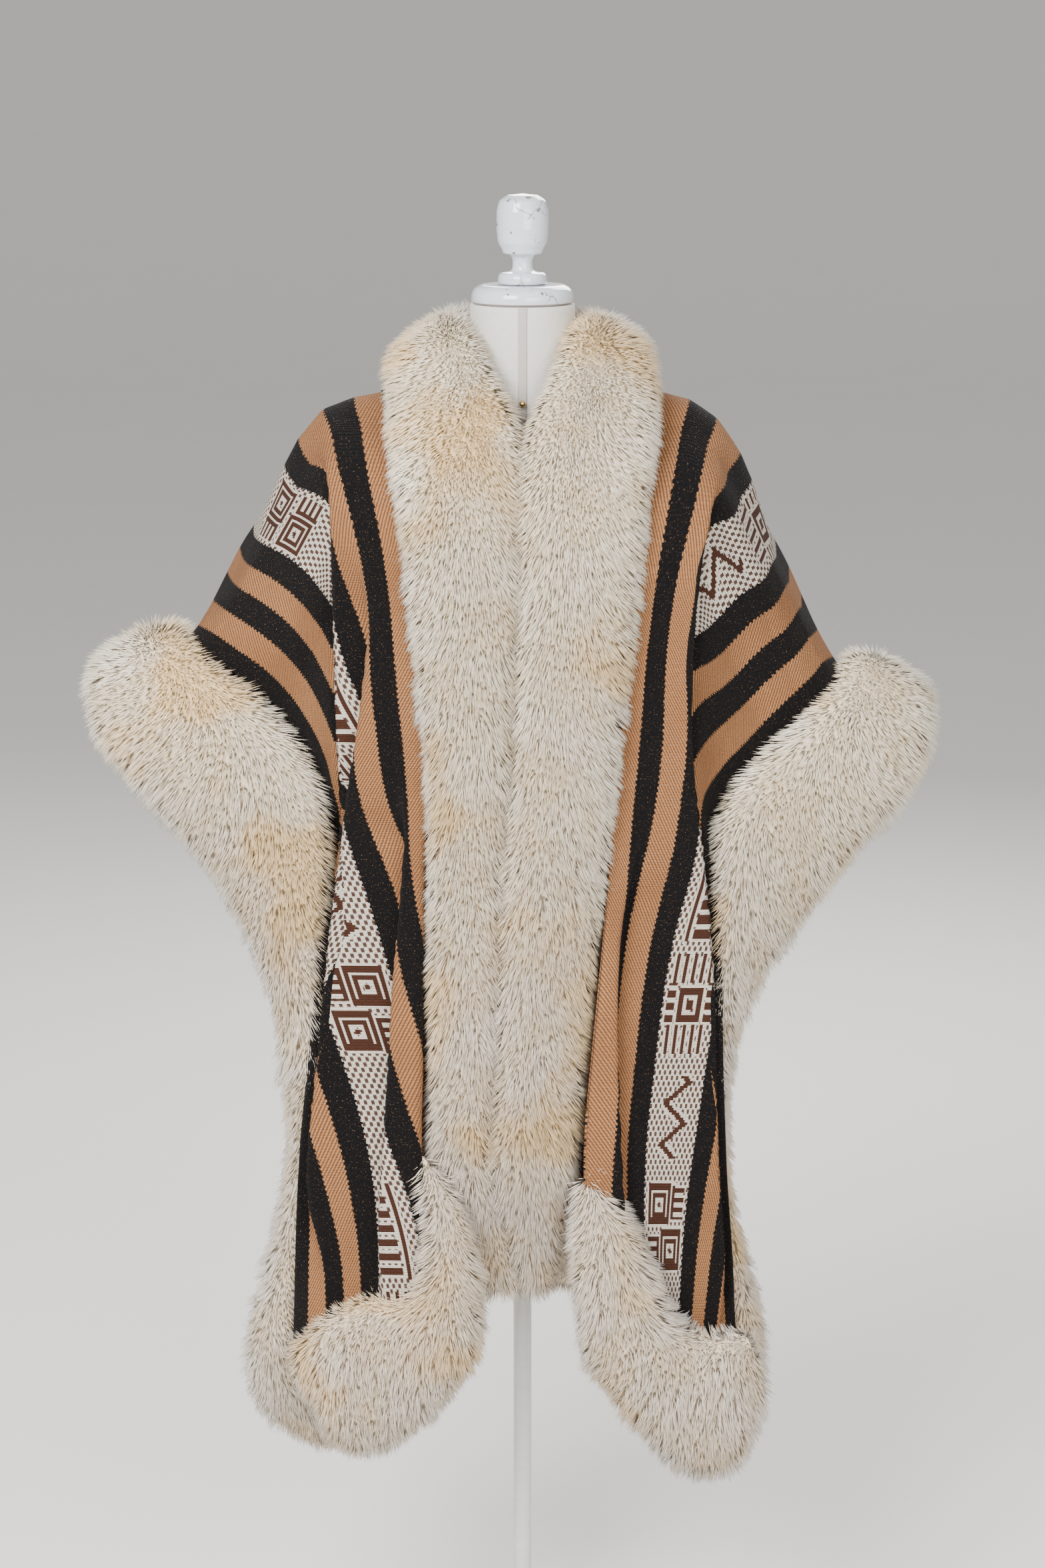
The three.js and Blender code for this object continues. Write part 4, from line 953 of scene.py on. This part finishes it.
def figures(over, along):
    """Solid stepped figures of the figured stripe, one after the other: 1 in a figure and 0 between them."""
    x, along = (((value / FIGURE_PICK).floor() + 0.5) * FIGURE_PICK for value in (over, along))
    turn = (along / FIGURE_PLOT).floor() % 5.0
    y = along % FIGURE_PLOT - FIGURE_PLOT / 2
    # A segmented ladder between two bars.
    ladder = (bars(y, 0.0162, 0.0095) * (abs(x) < 0.0175)).most(within(abs(x), 0.0215, 0.0275))
    ladder = ladder * (abs(y) < 0.055)
    # Two keyed squares on a slant, each with a toothed bar beside it.
    squares = []
    for way, centre_x, centre_y in ((1, -0.0135, 0.027), (-1, 0.0135, -0.0243)):
        square = abs(x - centre_x).most(abs(y - centre_y))
        square = within(square, 0.016, 0.022).most(within(square, 0.008, 0.0135)).most(square < 0.0027)
        beside = within(way * x, 0.0108, 0.0165)
        beside = beside.most(within(way * x, 0.0108, 0.034) * bars(y, 0.0108, 0.0055))
        squares.append(square.most(beside * within(way * y, 0.0085, 0.0485)))
    keyed = squares[0].most(squares[1])
    # A stepped zigzag.
    wave = abs((y + 0.1) % 0.046 - 0.023) * 1.6 - 0.0185
    zigzag = (abs(x - wave) < 0.0062) * (abs(y) < 0.046)
    # A square in a square, with parallel rays on all four sides.
    ring = abs(x).most(abs(y))
    rayed = within(ring, 0.0108, 0.019).most(ring < 0.0054)
    for ray, out, end, half in ((x, y, 0.055, 0.034), (y, x, 0.038, 0.0235)):
        rayed = rayed.most(bars(ray, 0.0135, 0.0068) * within(abs(out), 0.0235, end) * (abs(ray) < half))
    # The second plot has no figure.
    chosen = (turn < 0.5) * ladder
    for index, figure in ((2, keyed), (3, zigzag), (4, rayed)):
        chosen = chosen.most(within(turn, index - 0.5, index + 0.5) * figure)
    return chosen * (abs(x) < 0.038)


def striped_wool(g, place, settings):
    spot = g.add("ShaderNodeUVMap", {"uv_map": "weave"}, {}, "UV")
    over = g.part(spot, "X")
    along = g.other(over, "Y")
    # The weft pulls each stripe's edge in and out a little.
    teeth = (along / settings.pick).floor() % 2.0 * settings.pick * 0.55
    edge = over + teeth + g.noise(spot, (30.0, 160.0, 1.0), 1.0) * 0.0036 - 0.0018
    stripes, start = {}, -1.0
    for end, kind in STRIPES:
        if kind != "black":
            band = within(edge, start, end * MM)
            stripes[kind] = stripes[kind].most(band) if kind in stripes else band
        start = end * MM
    # Tan wool: two shades of yarn in a broken diagonal.
    slub = g.noise(spot, (900.0, 300.0, 1.0))
    slant = 0.5 + 0.5 * ((over + along * 0.8) / 0.0046 * FULL_TURN).sine()
    tan = g.blend(g.ramp(0.6 * slub + 0.4 * slant, 0.34, 0.62), settings.tan_dark, settings.tan)
    tan = g.blend(g.ramp(g.noise(place, 11.0), 0.4, 0.75) * 0.35, tan, settings.tan_dark)
    # Black wool with a few gold fibres.
    speck = g.ramp(g.noise(spot, (700.0, 420.0, 1.0)), 0.62, 0.74)
    black = g.blend(speck * 0.6, settings.black, settings.gold_fibre)
    black = g.blend(g.ramp(slub, 0.5, 0.8) * 0.14, black, settings.grey_fibre)
    # The figured stripe: a pale ground, short brown dashes on a slant, and stepped brown figures.
    cell_over, cell_along = over / 0.0043, along / 0.0062
    dash = (cell_over.floor() + cell_along.floor()) % 2.0 < 0.5
    dash = dash * within(cell_over % 1.0, 0.04, 0.96) * within(cell_along % 1.0, 0.1, 0.9)
    figure, *beside = (figures(over - (FIGURE_MIDDLE - step), along + (FIGURE_START + step))
                       for step in (0.0, FIGURE_CLEAR, -FIGURE_CLEAR))
    brown = figure.most(dash * (1 - beside[0].most(beside[1])) * 0.95)
    ground = g.blend(g.ramp(slub, 0.4, 0.7) * 0.4, settings.white, settings.white_shade)
    fleck = g.ramp(g.noise(spot, (160.0, 160.0, 1.0), 1.0), 0.68, 0.72)
    ground = g.blend(fleck * 0.5, ground, settings.orange_fleck)
    figured = g.blend(brown, ground, g.blend(slub, settings.brown, settings.brown_light))
    colour = g.blend(stripes["figured"], g.blend(stripes["tan"], black, tan), figured)
    picks = (along / settings.pick * FULL_TURN).sine()
    ends = (over / 0.0021 * FULL_TURN).sine()
    relief = 0.5 + 0.3 * picks + 0.22 * ends + slub * 0.5
    return {"Base Color": colour, "Normal": g.bump(relief, 0.0011, 0.9), "Roughness": 0.92,
            "Sheen Weight": 0.02, "Sheen Roughness": 0.5, "Specular IOR Level": 0.1}


def cotton_cover(g, place, settings):
    weave = g.noise(place, (600.0, 600.0, 900.0), 1.0)
    stain = g.ramp(g.noise(place, 9.0, 4.0), 0.45, 0.75)
    colour = g.blend(stain * 0.35, settings.cover, settings.cover_stain)
    colour = g.blend(g.ramp(weave, 0.45, 0.7) * 0.25, colour, settings.cover_stain)
    return {"Base Color": colour, "Normal": g.bump(weave, 0.0005, 0.5), "Roughness": 0.85,
            "Sheen Weight": 0.1, "Specular IOR Level": 0.25}


def glossy_paint(g, place, colour, under, gloss, wear):
    """Paint on turned wood, with chips and hair cracks where wear is 1 and none where it is 0."""
    brush = g.noise(place, (40.0, 40.0, 260.0), 3.0)
    haze = g.ramp(g.noise(place, 22.0, 3.0), 0.4, 0.8)
    chip = g.ramp(g.noise(place, 95.0, 4.0), 0.675, 0.69) * wear
    bend = g.scaled(g.noise(place, 60.0, 3.0, "Color"), 0.02)
    crack = g.add("ShaderNodeTexVoronoi", {"feature": "DISTANCE_TO_EDGE"},
                  {"Vector": g.vector("ADD", place, bend), "Scale": 34.0}, "Distance")
    crack = (crack < 0.016) * g.ramp(g.noise(place, 36.0), 0.54, 0.6) * wear
    seam = within(g.part(place, "Z"), (CAP_SEAM - 1) * MM, (CAP_SEAM + 2.2) * MM)
    bare = chip.most(crack * 0.8).most(seam)
    painted = g.blend(g.ramp(brush, 0.3, 0.8) * 0.07 + haze * 0.05, colour, under)
    shown = g.blend(bare * 0.85, painted, under)
    relief = brush * 0.15 - bare * 0.8
    return {"Base Color": shown, "Roughness": gloss + 0.4 * bare + 0.08 * haze,
            "Normal": g.bump(relief, 0.0006, 0.4), "Coat Weight": 0.6, "Coat Roughness": 0.06}


def satin(g, place, settings):
    ribs = 0.5 + 0.5 * (g.part(place, "Z") * 3600.0).sine()
    colour = g.blend(ribs * 0.3, settings.ribbon, settings.cover_stain)
    return {"Base Color": colour, "Normal": g.bump(ribs, 0.0003, 0.4), "Roughness": 0.42, "Sheen Weight": 0.2}


def worn_brass(g, place, settings):
    worn = g.ramp(g.noise(place, 380.0, 3.0), 0.4, 0.7)
    colour = g.blend(worn * 0.5, settings.gold, WORN_GOLD)
    return {"Base Color": colour, "Roughness": 0.22 + 0.3 * worn, "Metallic": 1.0}


def plain_floor(g, place, settings):
    paler = tuple(min(1.0, 1.03 * c) for c in settings.floor)
    return {"Base Color": g.blend(g.noise(place, 3.0, 3.0), settings.floor, paler), "Roughness": 0.8}


# ---- What a user can change -----------------------------------------------------------------------------
def a_number(description, default, **options):
    return bpy.props.FloatProperty(description=description, default=default, **options)


def a_length(description, default):
    return a_number(description, default, min=0.0, unit="LENGTH", subtype="DISTANCE", precision=4)


def a_colour(description, *default):
    return bpy.props.FloatVectorProperty(description=description, default=lit(*default), size=3,
                                         min=0.0, max=1.0, subtype="COLOR")


def labelled(group):
    """Gives each setting of a group its label, from its name."""
    for name, setting in group.__annotations__.items():
        setting.keywords["name"] = name.replace("_", " ").capitalize()
    return group


@labelled
class CapeClothSettings(bpy.types.PropertyGroup):
    """Sizes and colours of the woven cloth."""
    thickness: a_length("Thickness of the woven cloth", 0.0024)
    column_step: a_length("Distance between the cloth's points across the stripes", 0.0062)
    row_steps: bpy.props.IntProperty(description="Stations from one level to the next",
                                     default=8, min=2, max=16)
    wrinkle_height: a_length("Height of the small swells of the cloth", 0.0016)
    seam_depth: a_length("How far the cloth runs on into a fur trim", 0.012)
    pick: a_length("Distance between the weft rows that show", 0.0031)
    tan: a_colour("Light yarn of the tan stripes", 166, 119, 81)
    tan_dark: a_colour("Dark yarn of the tan stripes", 108, 70, 44)
    black: a_colour("Yarn of the black stripes", 14, 12, 13)
    gold_fibre: a_colour("Golden fibres in the black stripes", 138, 108, 78)
    grey_fibre: a_colour("Lighter fibres in the black stripes", 74, 66, 64)
    white: a_colour("Ground of the figured stripe", 196, 187, 174)
    white_shade: a_colour("Hollows in the ground of the figured stripe", 158, 146, 132)
    brown: a_colour("Figures and dashes", 50, 28, 20)
    brown_light: a_colour("Lighter yarn in the figures", 72, 44, 32)
    orange_fleck: a_colour("Flecks in the ground of the figured stripe", 196, 140, 96)


@labelled
class CapeFurSettings(bpy.types.PropertyGroup):
    """Sizes and colours of the fur trims."""
    pile_length: a_length("Length of a lock of the pile", 0.021)
    lock_width: a_length("Width of a lock at its root", 0.0012)
    inset: a_length("How far the skin lies inside the pile's reach", 0.0125)
    tuft_size: a_length("Size of the tufts that locks draw together in", 0.016)
    tuft_pull: a_number("How far locks lean to their tuft's middle", 0.6, min=0.0, max=3.0)
    lift: a_number("How far the pile stands up", 1.05, min=0.0)
    untidiness: a_number("How far locks stray", 0.2, min=0.0)
    density: a_number("Locks on a square metre", 178000.0, min=0.0)
    most_locks: bpy.props.IntProperty(description="Most locks on one trim",
                                      default=39000, min=1)
    cream: a_colour("Bright fur", 253, 240, 216)
    grey: a_colour("Duller fur lower down", 248, 234, 216)
    # This yellowish colour also tints the hollows between the pile's lumps, as painted shade.
    warm: a_colour("Yellowish patches", 249, 214, 160)
    root: a_colour("What the roots' colour is multiplied by", 249, 240, 225)


@labelled
class CapeFormSettings(bpy.types.PropertyGroup):
    """Sizes and colours of the dress form and its stand."""
    clearance: a_length("How far the form's cover lies inside its solid", 0.0012)
    ribbon_width: a_length("Width of the neck's ribbon", 0.009)
    ribbon_thickness: a_length("Thickness of the neck's ribbon", 0.0008)
    pin_radius: a_length("Radius of the round pin", 0.0036)
    cover: a_colour("Cotton cover of the form", 214, 210, 204)
    cover_stain: a_colour("Marks and hollows of the cover", 164, 158, 149)
    paint: a_colour("Paint of the cap and the knob", 208, 214, 222)
    under_paint: a_colour("What chips and streaks show", 104, 78, 60)
    stand_paint: a_colour("Paint of the pole and the base", 206, 206, 204)
    ribbon: a_colour("Satin ribbon", 178, 172, 164)
    gold: a_colour("The round pin", 246, 212, 150)


@labelled
class CapeStageSettings(bpy.types.PropertyGroup):
    """Light, floor and camera."""
    floor: a_colour("The plain floor", 236, 234, 230)
    floor_reach: a_length("Radius of the flat floor, beyond which it bends up", 14.0)
    camera_distance: a_length("From the pole's axis to the camera", 3.913)
    camera_height: a_length("Height of the camera", 1.835)
    camera_tilt: a_number("How far the camera looks down", math.radians(12), subtype="ANGLE",
                          unit="ROTATION")
    lens: a_number("Focal length of the camera", 85.0, unit="CAMERA", subtype="DISTANCE_CAMERA")
    key_power: a_number("Power of the main light", 390.0, unit="POWER")
    fill_power: a_number("Power of the fill light", 130.0, unit="POWER")
    sky: a_number("Strength of the light from all round", 0.62)


# ---- Operators ------------------------------------------------------------------------------------------
def finished(obj, material, slot, *nodes):
    """Gives a piece its finish and its place in the frame."""
    obj.data.materials.clear()
    obj.data.materials.append(material)
    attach(obj, "root")
    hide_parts(*nodes)


class CAPE_OT_form(bpy.types.Operator):
    """Makes the dress form, its painted cap and knob, the ribbon and the pin"""
    bl_idname = "cape.form"
    bl_label = "Dress form"

    def execute(self, context):
        settings = context.scene.cape_form
        body = oval_loft("form_cover", TORSO, settings.clearance / MM)
        neck = oval_loft("form_neck", NECK, 0)
        union = body.modifiers.new("Neck", "BOOLEAN")
        union.operation = "UNION"
        union.object = neck
        union.solver = "EXACT"
        apply_modifier(body, union)
        bpy.data.objects.remove(neck)
        finished(body, finish("Cotton form cover", cotton_cover, settings), "form_cloth", "torso")
        paint = finish("Chipped white paint", glossy_paint, settings.paint, settings.under_paint, 0.16, 1.0)
        turned_pieces(paint, "white_paint", "neck_cap", "finial")
        width, thick, radius = (size / MM for size in (settings.ribbon_width, settings.ribbon_thickness,
                                                       settings.pin_radius))
        band = ribbon("neck_ribbon", width, thick, CAP_SEAM - 2 * GAP, RIBBON_BOTTOM)
        finished(band, finish("Satin ribbon", satin, settings), "ribbon", "neck_tape")
        centre = (0, neck_front(PIN_HEIGHT) - 2 * GAP - thick - radius, PIN_HEIGHT)
        finished(ball("round_pin", radius, centre), finish("Worn brass", worn_brass, settings), "gold", "pin")
        return {"FINISHED"}


class CAPE_OT_stand(bpy.types.Operator):
    """Makes the pole and the round base"""
    bl_idname = "cape.stand"
    bl_label = "Stand"

    def execute(self, context):
        settings = context.scene.cape_form
        paint = finish("Pale stand paint", glossy_paint, settings.stand_paint, settings.under_paint, 0.4, 0.0)
        turned_pieces(paint, "stand_paint", "pole", "base")
        return {"FINISHED"}


class CAPE_OT_fur(bpy.types.Operator):
    """Makes the borders, the collar, the hems and the side strips of long pile fur"""
    bl_idname = "cape.fur"
    bl_label = "Fur trims"

    def execute(self, context):
        settings = context.scene.cape_fur
        fur = finish("Long pile fur", long_fur, settings)
        lock = lock_of_fur()
        inset = settings.inset / MM
        # Name, solid, rows, share of the inset at the near edge, and how the pile lies over and hangs.
        made = [("collar", "collar", collar_rows(), 1, (0.7, 0.6))]
        for side in SIDES:
            made += [
                (f"border_{side}", f"border_{side}", border_rows(side), 0.3, (0.6, 0.9)),
                (f"front_hem_{side}", f"front_hem_{side}", placed(FRONT_HEM[side], side), 0.5, (0.8, 0.5)),
                (f"side_strip_{side}", f"side_trim_{side}", placed(SIDE_TRIM[side], side), 0.5, (0.8, 0.6)),
                (f"back_hem_{side}", f"back_hem_{side}", back_hem_rows(side), 0.5, (0.6, 0.7)),
            ]
        for seed, (name, node, rows, share, comb) in enumerate(made, 1):
            skin = fur_skin(f"fur_{name}", rows, inset, inset * share, comb)
            grow_pile(skin, lock, fur, settings, seed)
            finished(skin, fur, "fur", node)
        bpy.data.objects.remove(lock)
        return {"FINISHED"}


class CAPE_OT_cloth(bpy.types.Operator):
    """Makes the two striped loom widths that hang over the form"""
    bl_idname = "cape.cloth"
    bl_label = "Woven cloth"

    def execute(self, context):
        settings = context.scene.cape_cloth
        wool = finish("Striped woven wool", striped_wool, settings)
        for side in SIDES:
            piece = cloth_piece(side, settings)
            finished(piece, wool, "woven_cloth", f"cloth_{side}")
        return {"FINISHED"}


ROOM = (0.9, 0.89, 0.88, 1.0)             # colour of the light from all round
FLOOR_SIDES = 96
FLOOR_RINGS = (0.01, 0.1, 0.3, 0.6)       # rings of the flat floor, as shares of its radius
FLOOR_BEND = 0.6          # radius of its bend, as a share of the same
FLOOR_SINK = 0.0005       # how far it lies under the base
AIM = Vector((0, 0, 1.0))
# The lights: name, which setting holds its power, size and place.
LIGHTS = (
    ("key_light", "key_power", 2.2, (-1.9, -3.4, 3.5)), ("fill_light", "fill_power", 2.2, (1.5, -3.7, 2.2)),
    ("back_light", "fill_power", 2.0, (0.6, 2.9, 3.0)),
)


class CAPE_OT_stage(bpy.types.Operator):
    """Makes the floor, the soft lights and the camera"""
    bl_idname = "cape.stage"
    bl_label = "Stage"

    def execute(self, context):
        settings = context.scene.cape_stage
        scene = context.scene
        flat, bend = settings.floor_reach, settings.floor_reach * FLOOR_BEND
        profile = [(share * flat, 0) for share in FLOOR_RINGS]
        profile += [(flat + bend * math.sin(rise), bend * (1 - math.cos(rise)))
                    for rise in np.linspace(0, math.pi / 2, 10)]
        rings = oval_rings([(z - FLOOR_SINK, r, r, r) for r, z in profile], FLOOR_SIDES)
        faces = [tuple(range(FLOOR_SIDES))[::-1], *between_rings(len(rings), FLOOR_SIDES)]
        floor = mesh_object("floor", np.concatenate(rings), faces)
        floor.data.flip_normals()
        floor.data.materials.append(finish("Plain floor", plain_floor, settings))
        for name, power, size, place in LIGHTS:
            light = bpy.data.lights.new(name, "AREA")
            light.energy = getattr(settings, power)
            light.size = size
            lamp = bpy.data.objects.new(name, light)
            lamp.location = place
            lamp.rotation_euler = (AIM - Vector(place)).to_track_quat("-Z", "Y").to_euler()
            scene.collection.objects.link(lamp)
        world = bpy.data.worlds.new("soft_room")
        world.use_nodes = True
        background = world.node_tree.nodes["Background"]
        background.inputs["Color"].default_value = ROOM
        background.inputs["Strength"].default_value = settings.sky
        scene.world = world
        camera = bpy.data.objects.new("camera", bpy.data.cameras.new("camera"))
        camera.data.lens = settings.lens
        camera.data.sensor_fit = "VERTICAL"
        camera.data.sensor_height = 36.0
        camera.data.clip_end = 200.0
        camera.location = (0, -settings.camera_distance, settings.camera_height)
        camera.rotation_euler = (math.pi / 2 - settings.camera_tilt, 0, 0)
        scene.collection.objects.link(camera)
        scene.camera = camera
        return {"FINISHED"}


class CAPE_PT_panel(bpy.types.Panel):
    """Lists the cape's pieces and their sizes"""
    bl_idname = "CAPE_PT_panel"
    bl_label = "Fur cape"
    bl_space_type = "VIEW_3D"
    bl_region_type = "UI"
    bl_category = "Cape"

    def draw(self, context):
        for group, (kind, operators) in GROUPS.items():
            box = self.layout.box()
            for name in kind.__annotations__:
                box.prop(getattr(context.scene, group), name)
            for operator in operators:
                box.operator(operator.bl_idname)


GROUPS = {
    "cape_form": (CapeFormSettings, (CAPE_OT_form, CAPE_OT_stand)),
    "cape_fur": (CapeFurSettings, (CAPE_OT_fur,)),
    "cape_cloth": (CapeClothSettings, (CAPE_OT_cloth,)),
    "cape_stage": (CapeStageSettings, (CAPE_OT_stage,)),
}
CLASSES = [cls for kind, operators in GROUPS.values() for cls in (kind, *operators)] + [CAPE_PT_panel]


def register():
    for cls in CLASSES:
        bpy.utils.register_class(cls)
    for name, (kind, _) in GROUPS.items():
        setattr(bpy.types.Scene, name, bpy.props.PointerProperty(type=kind))


def unregister():
    for name in GROUPS:
        delattr(bpy.types.Scene, name)
    for cls in reversed(CLASSES):
        bpy.utils.unregister_class(cls)


def main():
    register()
    bpy.ops.cape.form()
    bpy.ops.cape.stand()
    bpy.ops.cape.fur()
    bpy.ops.cape.cloth()
    bpy.ops.cape.stage()


if __name__ == "__main__":
    main()
